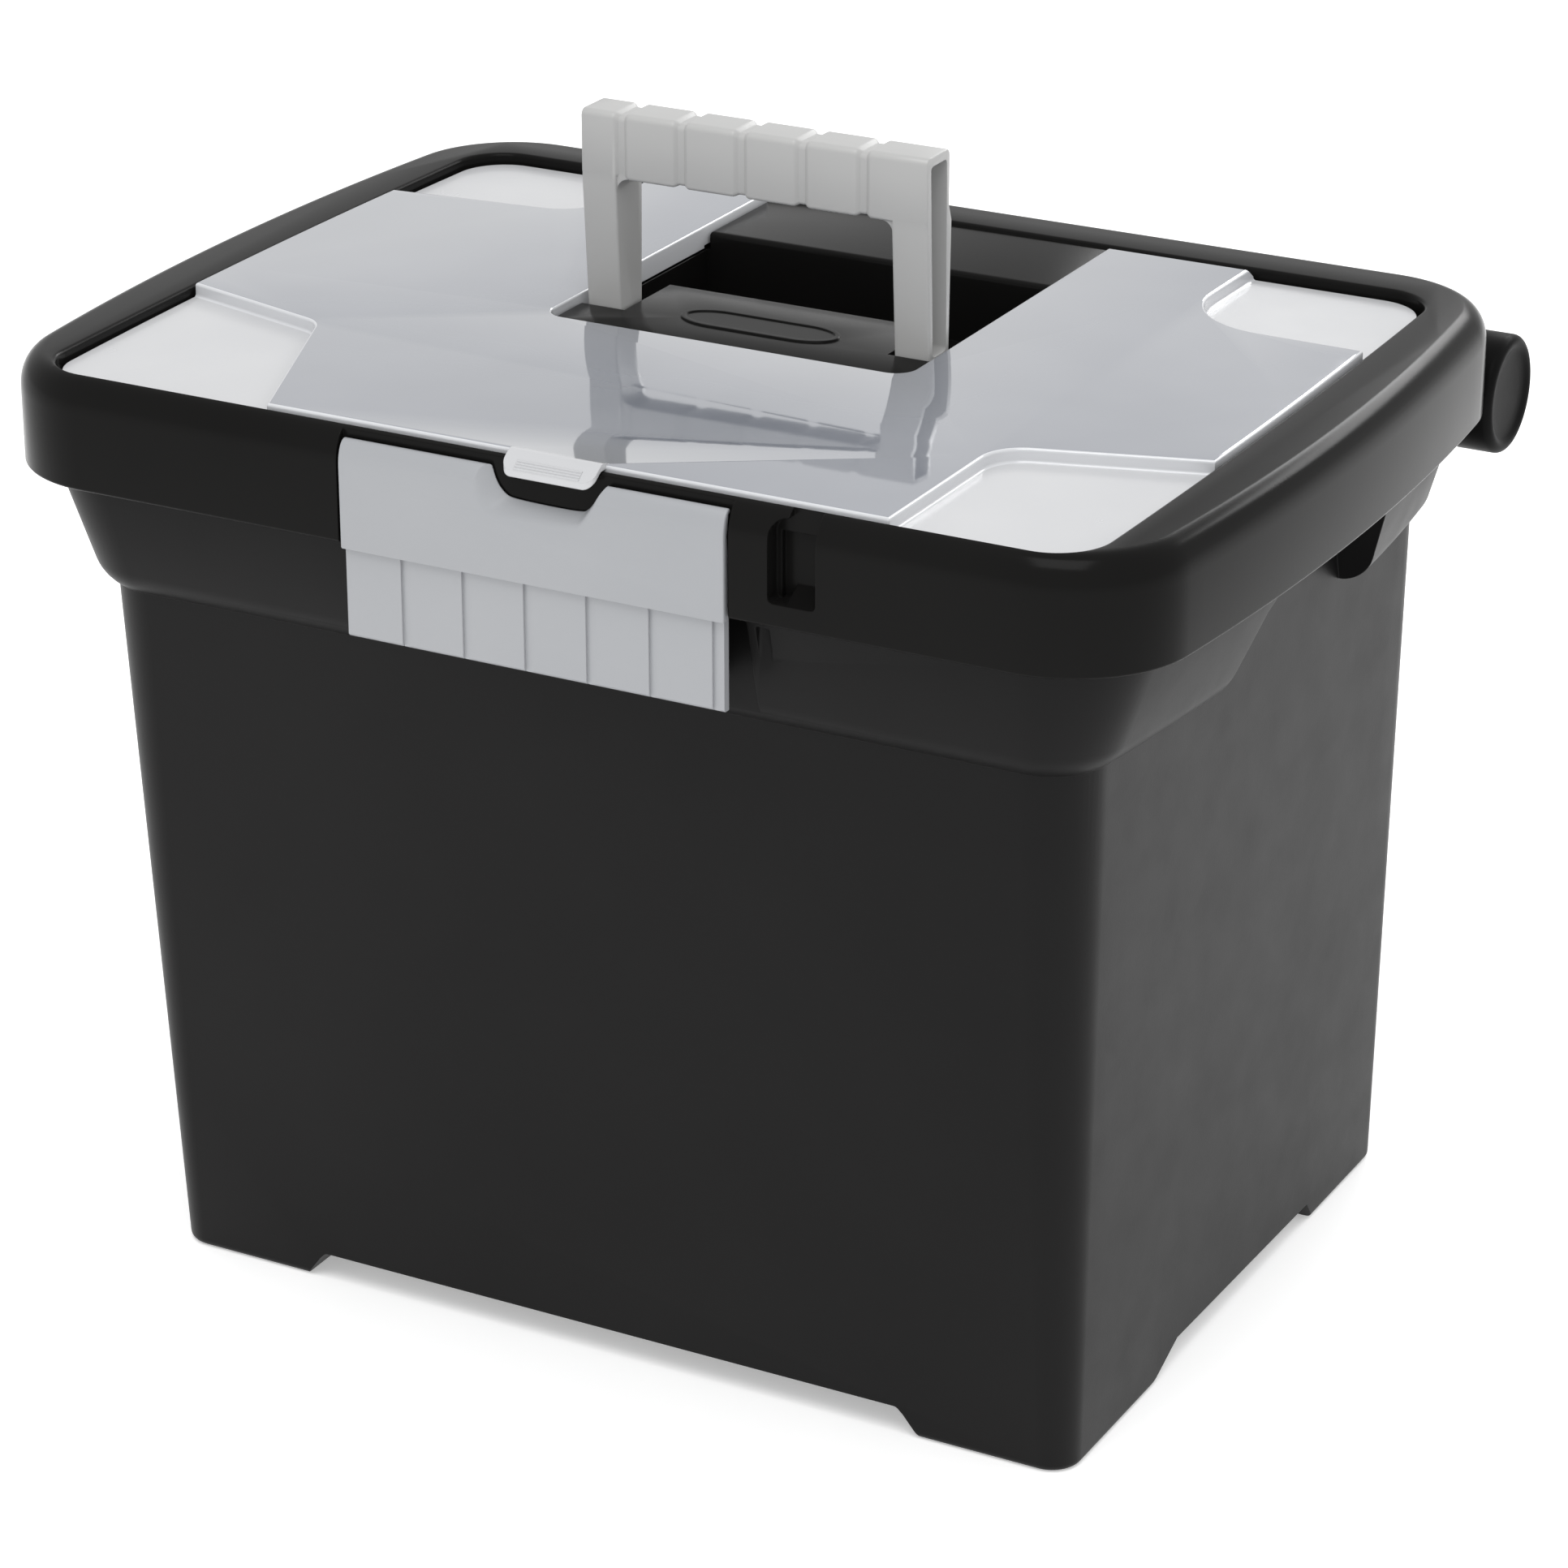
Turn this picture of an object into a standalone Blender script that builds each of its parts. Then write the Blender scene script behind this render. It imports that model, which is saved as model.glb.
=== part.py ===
"""Tool storage caddy: drafted bin, organizer lid with a clear cover, carry handle and front latch.

Metres, +Z up, origin under the middle of the overall box. The latch faces -Y.
"""
import math

import bmesh
import bpy
from mathutils import Matrix, Vector

MM = 0.001

# ---- bin -------------------------------------------------------------------
FOOT_HX, FOOT_Y0, FOOT_Y1 = 142.2 * MM, -105.5 * MM, 111.9 * MM
BODY_HX, BODY_Y0, BODY_Y1 = 147.8 * MM, -121.2 * MM, 112.2 * MM
FOOT_R, BODY_R = 9 * MM, 17 * MM
BODY_TOP_Z = 208 * MM
RIM_Z = 241.9 * MM
BIN_WALL = 2.6 * MM
BIN_FLOOR_Z = 11.5 * MM
SIDE_BOW = 8.7 * MM
SKIRT_HX0, SKIRT_Y0 = 158.5 * MM, -124.6 * MM
SKIRT_HX1, SKIRT_Y1 = 168.6 * MM, -132.6 * MM
SKIRT_BACK_Y = 113.2 * MM
SKIRT_Z = 206.5 * MM
GRIP_Y0, GRIP_Y1 = -58 * MM, 49 * MM
GRIP_TOP_Y0, GRIP_TOP_Y1 = -40 * MM, 36 * MM
GRIP_TOP_Z = 235.4 * MM
ARCH_HX, ARCH_Y0, ARCH_Y1, ARCH_Z = 99 * MM, -53 * MM, 57 * MM, 8.6 * MM
RAIL_HX, RAIL_Y, RAIL_Z, RAIL_T = 118 * MM, 3.4 * MM, 205 * MM, 3 * MM
LATCH_GAP_Y, LATCH_GAP_LEFT, LATCH_GAP_RIGHT = -124.4 * MM, 1.4 * MM, 1.6 * MM
SIDE_SLOT_X, SIDE_SLOT_W, SIDE_SLOT_Y = 2.4 * MM, 4 * MM, -129.2 * MM
SIDE_SLOT_Z0, SIDE_SLOT_Z1 = 213.5 * MM, 238.5 * MM

# ---- lid -------------------------------------------------------------------
LID_HX, LID_Y0, LID_Y1, LID_R = 176.2 * MM, -140.2 * MM, 116 * MM, 34 * MM
LID_Z0, LID_Z1 = 242.7 * MM, 273.7 * MM
LID_WALL = 2.7 * MM
SEAT_HX, SEAT_Y0, SEAT_Y1, SEAT_R = 155.6 * MM, -134.4 * MM, 96.5 * MM, 15 * MM
SEAT_BOW = 2 * MM
SEAT_Z = 268.6 * MM
TRAY_INSET = 3 * MM
TRAY_FLOOR_Z, TRAY_UNDER_Z = 248 * MM, 245.4 * MM
DIVIDER, DIVIDER_Y, DIVIDER_Z = 1.8 * MM, -30 * MM, 266.8 * MM
BLOCK_HX, BLOCK_Y0 = 58.3 * MM, -38 * MM
DECK_HX, DECK_Z, DECK_Y = 54.7 * MM, 272.6 * MM, 57.5 * MM
PLATFORM_HX, PLATFORM_Y1 = 40.6 * MM, 10 * MM
SLOT_Y0 = -16.7 * MM
TROUGH_HX, TROUGH_Z = 55.5 * MM, 252 * MM
LEDGE_Z = 267.4 * MM
NOTCH_Y, NOTCH_R = -35.2 * MM, 6 * MM
OVAL_X, OVAL_Y, OVAL_H = -0.8 * MM, -11.8 * MM, 0.5 * MM
OVAL_HX, OVAL_HY, OVAL_STRAIGHT = 12 * MM, 7.2 * MM, 12.2 * MM
RECESS_Y, RECESS_SIDE = -136.3 * MM, 1 * MM
POCKET_X0, POCKET_X1, POCKET_Z0, POCKET_Z1 = 70.5 * MM, 84 * MM, 249 * MM, 271.5 * MM
POCKET_R, POCKET_Y, POCKET_DEEP_Y, POCKET_DEEP_Z = 5 * MM, -135 * MM, -133.2 * MM, 267 * MM
REST_RIB_Y, REST_RIB_T, REST_RIB_X0 = (-78 * MM, 0, 62 * MM), 2.2 * MM, 155.2 * MM

# ---- lid hinge -------------------------------------------------------------
HINGE_Y, HINGE_Z = 124 * MM, 239 * MM
BARREL_R, HINGE_PIN_R, HINGE_HEAD_R = 9.5 * MM, 3.4 * MM, 17 * MM
LUG_X0, LUG_X1 = 104 * MM, 127 * MM
BARREL_X0, BARREL_X1 = 127.6 * MM, 152.4 * MM
HEAD_X0, HEAD_X1 = 153 * MM, 166.5 * MM

# ---- organizer cover -------------------------------------------------------
COVER_GAP = 0.8 * MM
COVER_Y1 = 94.9 * MM
COVER_T = 1.8 * MM
PAD_Z, RAISED_Z = 270.8 * MM, 274.7 * MM
RIM_DROP_Z = 268.2 * MM
COVER_PIVOT_Y, COVER_PIVOT_Z, COVER_PIN_R = 84 * MM, 268.2 * MM, 1.1 * MM
COVER_BARREL_R, COVER_BARREL_X0, COVER_BARREL_X1 = 2.6 * MM, 142 * MM, 149 * MM
COVER_SWEEP_R = 12 * MM
COVER_BOW = 3 * MM
COVER_BACK_CHAMFER = 3.9 * MM
TAB_X0, TAB_X1, TAB_R = -6 * MM, 21 * MM, 3 * MM
TAB_ROOT_Y, TAB_BEND_Y, TAB_Y = -131 * MM, -135.9 * MM, -140.8 * MM
TAB_TOP_Z, TAB_END_Z, TAB_T = 275.6 * MM, 271.8 * MM, 1.8 * MM
# each pad: end of its inner edge, its inner corner, end of its front or back edge (x, y), corner radius
PADS = (((-78, -140), (-106, -70.3), (-175, -52), 9),
        ((101, -140), (101.3, -74), (175, -52), 12),
        ((99, 110), (98, 41.8), (175, 40.2), 26),
        ((-93, 110), (-93, 51.5), (-175, 42.5), 14))

# ---- handle ----------------------------------------------------------------
HANDLE_HX, LEG_W = 52.7 * MM, 10.6 * MM
HANDLE_Y0, HANDLE_Y1 = -18.1 * MM, -3.1 * MM
GRIP_Z0, GRIP_Z1, GRIP_BACK_Y, GRIP_R = 310 * MM, 328.5 * MM, -4.7 * MM, 1.8 * MM
LEG_FOOT_R, LEG_LOW_Y0, LEG_LOW_Y1, LEG_LOW_Z = 5.9 * MM, -15.8 * MM, -3.9 * MM, 272.6 * MM
LEG_BLEND = 1.5 * MM
CHANNEL_WALL, CHANNEL_TOP = 2 * MM, 2.6 * MM
PIVOT_Y, PIVOT_Z, HANDLE_PIN_R = -10.4 * MM, 262 * MM, 2.4 * MM
GROOVE_X, GROOVE_PITCH, GROOVE_W, GROOVE_D = -3.6 * MM, 18.45 * MM, 4 * MM, 0.8 * MM

# ---- latch -----------------------------------------------------------------
LATCH_X, LATCH_HX = 2 * MM, 56.5 * MM
LATCH_Y, LATCH_T = -141 * MM, 2.8 * MM
LATCH_RIB_Y = -139.4 * MM
LATCH_Z0, LATCH_STEP_Z, LATCH_Z1 = 216.8 * MM, 241.4 * MM, 271 * MM
LATCH_TOP_R, LATCH_TOP_REACH, LATCH_LIP = 7 * MM, 0.6, 1.6 * MM
LATCH_LOW_T, LATCH_LOW_SIDE = 4 * MM, 0.6 * MM
LATCH_PIVOT_Y, LATCH_PIVOT_Z, LATCH_PIN_R = -131 * MM, 222.5 * MM, 1.6 * MM
LATCH_LUG_R, LUG_HALF = 4.4 * MM, 4 * MM
BIN_LUG_X, LATCH_ARM_X = (-41 * MM, 0, 41 * MM), (-30 * MM, -11 * MM, 11 * MM, 30 * MM)
# finger notch, clockwise from its left end at the latch's front face, then at the back of its walls (x, z)
SCOOP_FRONT = ((-14.3, 272), (-13.4, 264.5), (-11.6, 260.3), (-8.6, 259),
               (15, 259.3), (17.8, 261), (24.5, 272))
SCOOP_BACK = ((-10.8, 272), (-9.3, 266.5), (-6.8, 263.6), (-4.3, 262.6),
              (15.4, 262.3), (18, 263.4), (24.5, 272))
SCOOP_BACK_Y, SCOOP_WALL, SCOOP_TOP_Z = -136.8 * MM, 2 * MM, 269.8 * MM
RIB_X, RIB_PITCH, RIB_RAMP, RIB_D = -37.3 * MM, 18.35 * MM, 3.2 * MM, 0.7 * MM

# ---- clearances ------------------------------------------------------------
BORE_CLEAR, BARREL_CLEAR, END_CLEAR = 0.35 * MM, 0.8 * MM, 0.6 * MM

for item in list(bpy.data.objects):
    bpy.data.objects.remove(item, do_unlink=True)


def mesh_object(name, verts, faces):
    """A closed mesh object with outward faces."""
    mesh = bpy.data.meshes.new(name)
    mesh.from_pydata([tuple(v) for v in verts], [], faces)
    bm = bmesh.new()
    bm.from_mesh(mesh)
    bmesh.ops.recalc_face_normals(bm, faces=bm.faces)
    bm.to_mesh(mesh)
    bm.free()
    obj = bpy.data.objects.new(name, mesh)
    bpy.context.scene.collection.objects.link(obj)
    return obj


def outline(hx, y0, y1, radius, bow=0.0, steps=5, side=6):
    """Rounded rectangle whose left and right sides bulge by bow; hx is measured at the bulge."""
    half = (y1 - y0) / 2
    mid = (y1 + y0) / 2
    bow = max(bow, 1e-5)
    big = (half * half + bow * bow) / (2 * bow)
    cx0 = hx - big
    cx = cx0 + math.sqrt(max((big - radius) ** 2 - (half - radius) ** 2, 1e-12))
    a = math.atan2(half - radius, cx - cx0)
    right = [(cx0 + big * math.cos(t), big * math.sin(t))
             for t in (-a + 2 * a * i / side for i in range(side + 1))]
    corner = [(cx + radius * math.cos(t), half - radius + radius * math.sin(t))
              for t in (a + (math.pi / 2 - a) * i / steps for i in range(1, steps + 1))]
    lower = [(x, -y) for x, y in reversed(corner)]
    half_ring = lower + right + corner
    ring = half_ring + [(-x, -y) for x, y in half_ring]
    return [(x, y + mid) for x, y in ring]


def loft(name, rings):
    """Closed solid through rings of (outline, z)."""
    n = len(rings[0][0])
    verts = [(x, y, z) for ring, z in rings for x, y in ring]
    faces = [tuple(range(n)), tuple(range(len(verts) - n, len(verts)))]
    for k in range(len(rings) - 1):
        for i in range(n):
            j = (i + 1) % n
            faces.append((k * n + i, k * n + j, (k + 1) * n + j, (k + 1) * n + i))
    return mesh_object(name, verts, faces)


def prism(name, ring, z0, z1):
    return loft(name, [(ring, z0), (ring, z1)])


def box(name, x0, x1, y0, y1, z0, z1):
    return prism(name, [(x0, y0), (x1, y0), (x1, y1), (x0, y1)], z0, z1)


def slab(name, ring, x0, x1):
    """Prism along X; ring holds (y, z)."""
    n = len(ring)
    verts = [(x, y, z) for x in (x0, x1) for y, z in ring]
    faces = [tuple(range(n)), tuple(range(n, 2 * n))]
    faces += [(i, (i + 1) % n, n + (i + 1) % n, n + i) for i in range(n)]
    return mesh_object(name, verts, faces)


def wall(name, ring, y0, y1):
    """Prism along Y; ring holds (x, z)."""
    n = len(ring)
    verts = [(x, y, z) for y in (y0, y1) for x, z in ring]
    faces = [tuple(range(n)), tuple(range(n, 2 * n))]
    faces += [(i, (i + 1) % n, n + (i + 1) % n, n + i) for i in range(n)]
    return mesh_object(name, verts, faces)


def disc(y, z, r, n=24):
    return [(y + r * math.cos(2 * math.pi * i / n), z + r * math.sin(2 * math.pi * i / n))
            for i in range(n)]


def rod(name, x0, x1, y, z, r, n=24):
    return slab(name, disc(y, z, r, n), x0, x1)


def combine(target, others, operation):
    """Boolean the others into target and drop them."""
    for other in others:
        mod = target.modifiers.new("bool", "BOOLEAN")
        mod.operation = operation
        mod.solver = "EXACT"
        mod.object = other
        deps = bpy.context.evaluated_depsgraph_get()
        mesh = bpy.data.meshes.new_from_object(target.evaluated_get(deps))
        target.modifiers.clear()
        target.data = mesh
        bpy.data.objects.remove(other, do_unlink=True)
    return target


def cut(target, *others):
    return combine(target, others, "DIFFERENCE")


def join(target, *others):
    return combine(target, others, "UNION")


def keep(target, *others):
    return combine(target, others, "INTERSECT")


def axis_empty(name, place, parent=None):
    """An empty on a joint's axis; the pieces that turn with the joint hang on it."""
    empty = bpy.data.objects.new(name, None)
    bpy.context.scene.collection.objects.link(empty)
    empty.parent = parent
    empty.location = Vector(place) - (parent.location if parent else Vector())
    return empty


def hang(obj, empty, place):
    """Move an object's origin to a joint's axis and parent it to that joint's empty."""
    obj.data.transform(Matrix.Translation(-Vector(place)))
    obj.parent = empty
    return obj


def finish(obj, name, color, roughness, alpha=1.0):
    """Name the node, clean the mesh and give it its own material."""
    obj.name = name
    obj.data.name = name
    bm = bmesh.new()
    bm.from_mesh(obj.data)
    bmesh.ops.remove_doubles(bm, verts=bm.verts, dist=0.00002)
    bmesh.ops.dissolve_degenerate(bm, edges=bm.edges, dist=0.00002)
    bmesh.ops.dissolve_limit(bm, angle_limit=math.radians(0.05), verts=bm.verts, edges=bm.edges)
    bmesh.ops.triangulate(bm, faces=bm.faces)
    bmesh.ops.recalc_face_normals(bm, faces=bm.faces)
    bm.to_mesh(obj.data)
    bm.free()
    mat = bpy.data.materials.new(name + "_material")
    mat.use_nodes = True
    shader = mat.node_tree.nodes["Principled BSDF"]
    shader.inputs["Base Color"].default_value = (*color, 1.0)
    shader.inputs["Roughness"].default_value = roughness
    shader.inputs["Alpha"].default_value = alpha
    obj.data.materials.clear()
    obj.data.materials.append(mat)
    return obj


def body_ring(t, inset=0.0):
    """Bin outline at height fraction t of the drafted walls."""
    hx = FOOT_HX + (BODY_HX - FOOT_HX) * t
    y0 = FOOT_Y0 + (BODY_Y0 - FOOT_Y0) * t
    y1 = FOOT_Y1 + (BODY_Y1 - FOOT_Y1) * t
    r = FOOT_R + (BODY_R - FOOT_R) * t
    return outline(hx - inset, y0 + inset, y1 - inset, max(r - inset, 2 * MM))


def skirt_ring(t, inset=0.0):
    hx = SKIRT_HX0 + (SKIRT_HX1 - SKIRT_HX0) * t - inset
    y0 = SKIRT_Y0 + (SKIRT_Y1 - SKIRT_Y0) * t + inset
    r = (20 + 8 * t) * MM - inset
    return outline(hx, y0, SKIRT_BACK_Y - inset, r, SIDE_BOW)


def grip_prism(name, margin, x0, x1):
    """Side hand grip: trapezoid along Y, cut up under the rim."""
    low = SKIRT_Z - 8 * MM
    top = GRIP_TOP_Z + margin
    ring = [(GRIP_Y0 - margin, low), (GRIP_Y1 + margin, low),
            (GRIP_TOP_Y1 + margin, top), (GRIP_TOP_Y0 - margin, top)]
    return slab(name, ring, x0, x1)


def make_bin():
    over = (RIM_Z - BODY_TOP_Z) / BODY_TOP_Z
    lead = 2.2 * MM
    outer = loft("bin", [(body_ring(0, lead), 0), (body_ring(0, 0.6 * MM), 0.9 * MM),
                         (body_ring(0.012), 2.6 * MM), (body_ring(1), BODY_TOP_Z),
                         (body_ring(1 + over * 0.5), RIM_Z - 0.4 * MM)])
    skirt = loft("skirt", [(skirt_ring(-0.10, 7.6 * MM), SKIRT_Z), (skirt_ring(-0.05, 3 * MM), 208.3 * MM),
                           (skirt_ring(0.04, 0.4 * MM), 211 * MM), (skirt_ring(0.15), 215 * MM),
                           (skirt_ring(1), RIM_Z)])
    hollow = loft("hollow", [(skirt_ring(0.05, 8.2 * MM), 210.6 * MM), (skirt_ring(0.16, BIN_WALL), 216 * MM),
                             (skirt_ring(1.05, BIN_WALL), RIM_Z + 4 * MM)])
    for side in (-1, 1):
        x0, x1 = sorted((side * 120 * MM, side * 190 * MM))
        cut(skirt, grip_prism("grip", 0, x0, x1))
        cut(hollow, grip_prism("grip", BIN_WALL, x0, x1))
    left, right = LATCH_X - LATCH_HX - LATCH_GAP_LEFT, LATCH_X + LATCH_HX + LATCH_GAP_RIGHT
    slot = right + SIDE_SLOT_X
    cut(skirt,
        box("gap", left, right, -150 * MM, LATCH_GAP_Y, 200 * MM, 250 * MM),
        box("gap", slot, slot + SIDE_SLOT_W, -150 * MM, SIDE_SLOT_Y, SIDE_SLOT_Z0, SIDE_SLOT_Z1))
    cut(hollow, box("gap", left - BIN_WALL, slot + SIDE_SLOT_W + BIN_WALL, -150 * MM, -122.6 * MM,
                    200 * MM, 250 * MM))
    join(outer, skirt)
    inner = loft("inner", [(body_ring(0.03, BIN_WALL + 1.6 * MM), BIN_FLOOR_Z),
                           (body_ring(0.05, BIN_WALL), BIN_FLOOR_Z + 3 * MM),
                           (body_ring(1, BIN_WALL), BODY_TOP_Z),
                           (body_ring(1 + over * 0.5, BIN_WALL), RIM_Z + 4 * MM)])
    join(inner, hollow)
    cut(outer, inner)
    # feet: arches along both pairs of sides, and the hollow between the feet
    slope = ARCH_Z * 0.9
    front = [(-ARCH_HX, -1 * MM), (ARCH_HX, -1 * MM), (ARCH_HX - slope, ARCH_Z), (-ARCH_HX + slope, ARCH_Z)]
    cut(outer, wall("arch", front, -140 * MM, 140 * MM))
    side = [(ARCH_Y0 - 2 * MM, -1 * MM), (ARCH_Y1 + 6 * MM, -1 * MM), (ARCH_Y1, 6.6 * MM),
            (ARCH_Y0 + 18 * MM, ARCH_Z - 0.4 * MM)]
    cut(outer, slab("arch", side, -160 * MM, 160 * MM))
    # hanging rails moulded along the long walls, just under the step
    rail = BIN_WALL + RAIL_Y
    for y0, y1 in ((BODY_Y0 + 1 * MM, BODY_Y0 + rail), (BODY_Y1 - rail, BODY_Y1 - 1 * MM)):
        join(outer, box("rail", -RAIL_HX, RAIL_HX, y0, y1, RAIL_Z - RAIL_T, RAIL_Z))
    # rear hinge lugs
    for side in (-1, 1):
        x0, x1 = sorted((side * LUG_X0, side * LUG_X1))
        lug = rod("lug", x0, x1, HINGE_Y, HINGE_Z, BARREL_R, 32)
        web = slab("web", [(BODY_Y1 - 1.2 * MM, 212 * MM), (HINGE_Y + 6.4 * MM, HINGE_Z - 7 * MM),
                           (HINGE_Y + 4 * MM, HINGE_Z), (HINGE_Y - 5 * MM, HINGE_Z + 2 * MM),
                           (BODY_Y1 - 1.2 * MM, HINGE_Z + 2 * MM)], x0, x1)
        join(outer, join(lug, web))
        cut(outer, rod("bore", x0 - 2 * MM, x1 + 2 * MM, HINGE_Y, HINGE_Z, HINGE_PIN_R + BORE_CLEAR, 24))
        b0, b1 = sorted((side * (BARREL_X0 - 0.5 * MM), side * (HEAD_X1 + 2 * MM)))
        cut(outer, rod("clear", b0, b1, HINGE_Y, HINGE_Z, BARREL_R + BARREL_CLEAR, 32))
        b0, b1 = sorted((side * (HEAD_X0 - END_CLEAR), side * (HEAD_X1 + 2 * MM)))
        cut(outer, rod("clear", b0, b1, HINGE_Y, HINGE_Z, HINGE_HEAD_R + BARREL_CLEAR, 40))
    # latch lugs on the front wall
    for x in BIN_LUG_X:
        a, b = LATCH_X + x - LUG_HALF, LATCH_X + x + LUG_HALF
        lug = rod("lug", a, b, LATCH_PIVOT_Y, LATCH_PIVOT_Z, LATCH_LUG_R, 24)
        web = box("web", a, b, LATCH_PIVOT_Y, BODY_Y0 + 0.2 * MM,
                  LATCH_PIVOT_Z - LATCH_LUG_R, LATCH_PIVOT_Z + LATCH_LUG_R)
        join(outer, join(lug, web))
    cut(outer, rod("bore", LATCH_X - 47 * MM, LATCH_X + 47 * MM, LATCH_PIVOT_Y, LATCH_PIVOT_Z,
                   LATCH_PIN_R + BORE_CLEAR, 20))
    return finish(outer, "base_bin", (0.022, 0.022, 0.023), 0.45)


def lid_ring(inset=0.0):
    return outline(LID_HX - inset, LID_Y0 + inset, LID_Y1 - inset, LID_R - inset * 0.8, SIDE_BOW)


def seat_ring(inset=0.0, back=None, bow=SEAT_BOW):
    y1 = (SEAT_Y1 - inset) if back is None else back
    return outline(SEAT_HX - inset, SEAT_Y0 + inset, y1, SEAT_R - inset * 0.6, bow)


def notch_ring(inset, y1):
    """Opening round the handle: straight sides running back from two rounded front corners."""
    hx, r, y = TROUGH_HX - inset, NOTCH_R - inset, NOTCH_Y + inset
    turn = [math.pi / 2 * i / 5 for i in range(6)]
    ring = [(hx, y1), (-hx, y1)]
    ring += [(-hx + r * (1 - math.cos(a)), y + r * (1 - math.sin(a))) for a in turn]
    ring += [(hx - r * (1 - math.sin(a)), y + r * (1 - math.cos(a))) for a in turn]
    return ring


def make_lid():
    lid = loft("lid", [(lid_ring(0.9 * MM), LID_Z0), (lid_ring(), LID_Z0 + 1.2 * MM), (lid_ring(), 264 * MM),
                       (lid_ring(0.5 * MM), 267.8 * MM), (lid_ring(1.7 * MM), 270.6 * MM),
                       (lid_ring(3.3 * MM), 272.6 * MM), (lid_ring(5.3 * MM), LID_Z1)])
    # open underside: shallow pan, then the perimeter channel with its rest ribs
    cut(lid, prism("pan", lid_ring(LID_WALL), LID_Z0 - 2 * MM, TRAY_UNDER_Z))
    channel = join(prism("channel", lid_ring(LID_WALL), TRAY_UNDER_Z - 1 * MM, 266 * MM),
                   prism("upper", lid_ring(4.6 * MM), 265 * MM, 270 * MM))
    keep_out = join(prism("core", seat_ring(-1.2 * MM), TRAY_UNDER_Z - 2 * MM, 266 * MM),
                    prism("core", seat_ring(-2.6 * MM), 264.5 * MM, 272 * MM))
    cut(channel, keep_out,
        box("front", LATCH_X - 62 * MM, 90 * MM, -150 * MM, -120 * MM, 240 * MM, 280 * MM))
    cut(lid, channel)
    # organizer compartments
    tray = prism("tray", seat_ring(TRAY_INSET, SEAT_Y1 - 0.2 * MM), TRAY_FLOOR_Z, LID_Z1 + 2 * MM)
    block = join(box("block", -BLOCK_HX, BLOCK_HX, BLOCK_Y0, 60 * MM, 240 * MM, 280 * MM),
                 box("block", -DECK_HX - 0.2 * MM, DECK_HX + 0.2 * MM, 50 * MM, 120 * MM, 240 * MM, 280 * MM))
    cut(tray, block)
    for x in (-1, 1):
        c = x * (BLOCK_HX - DIVIDER / 2)
        cut(tray, box("divider", c - DIVIDER / 2, c + DIVIDER / 2, -140 * MM, BLOCK_Y0 + 1 * MM,
                      240 * MM, DIVIDER_Z))
        a, b = sorted((x * (BLOCK_HX - 1 * MM), x * 160 * MM))
        cut(tray, box("divider", a, b, DIVIDER_Y - DIVIDER / 2, DIVIDER_Y + DIVIDER / 2, 240 * MM, DIVIDER_Z))
    cut(lid, tray)
    cut(lid, prism("seat", seat_ring(), SEAT_Z, LID_Z1 + 2 * MM))
    # room in the seat's ledge for the back of the cover as it swings down
    for side in (-1, 1):
        x0, x1 = sorted((side * (SEAT_HX - 10 * MM), side * (SEAT_HX + 1 * MM)))
        swing = rod("swing", x0, x1, COVER_PIVOT_Y, COVER_PIVOT_Z, COVER_SWEEP_R, 32)
        cut(lid, keep(swing, prism("inside", seat_ring(0.2 * MM), TRAY_UNDER_Z, LID_Z1 + 2 * MM)))
    # centre block: platform and deck stand up again inside the seat
    join(lid, prism("deck", notch_ring(TROUGH_HX - DECK_HX, 98 * MM), TRAY_UNDER_Z + 1 * MM, DECK_Z))
    for x in (-1, 1):
        a, b = sorted((x * PLATFORM_HX, x * TROUGH_HX))
        cut(lid, box("slot", a, b, SLOT_Y0, PLATFORM_Y1 + 5 * MM, TROUGH_Z, 280 * MM))
    ledge = box("ledge", -BLOCK_HX * 1.01, BLOCK_HX * 1.01, -60 * MM, 96.2 * MM, LEDGE_Z, 280 * MM)
    cut(lid, cut(ledge, prism("deck", notch_ring(TROUGH_HX - DECK_HX, 98 * MM), 260 * MM, 290 * MM)))
    cut(lid, box("trough", -TROUGH_HX, TROUGH_HX, PLATFORM_Y1, DECK_Y, TROUGH_Z, 280 * MM))
    # hollows below the platform and the deck
    cut(lid, box("under", -PLATFORM_HX + 2.6 * MM, PLATFORM_HX - 2.6 * MM, -33 * MM, PLATFORM_Y1 - 2.6 * MM,
                 240 * MM, DECK_Z - 2.8 * MM),
        box("under", -DECK_HX + 2.6 * MM, DECK_HX - 2.6 * MM, DECK_Y + 2.6 * MM, SEAT_Y1 + 4 * MM,
            240 * MM, DECK_Z - 2.8 * MM))
    # raised oval on the platform
    turn = [2 * math.pi * (i + 0.5) / 32 for i in range(32)]
    oval = [(OVAL_X + OVAL_HX * math.cos(a) + math.copysign(OVAL_STRAIGHT, math.cos(a)),
             OVAL_Y + OVAL_HY * math.sin(a)) for a in turn]
    join(lid, prism("oval", oval, DECK_Z - 1 * MM, DECK_Z + OVAL_H))
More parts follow.
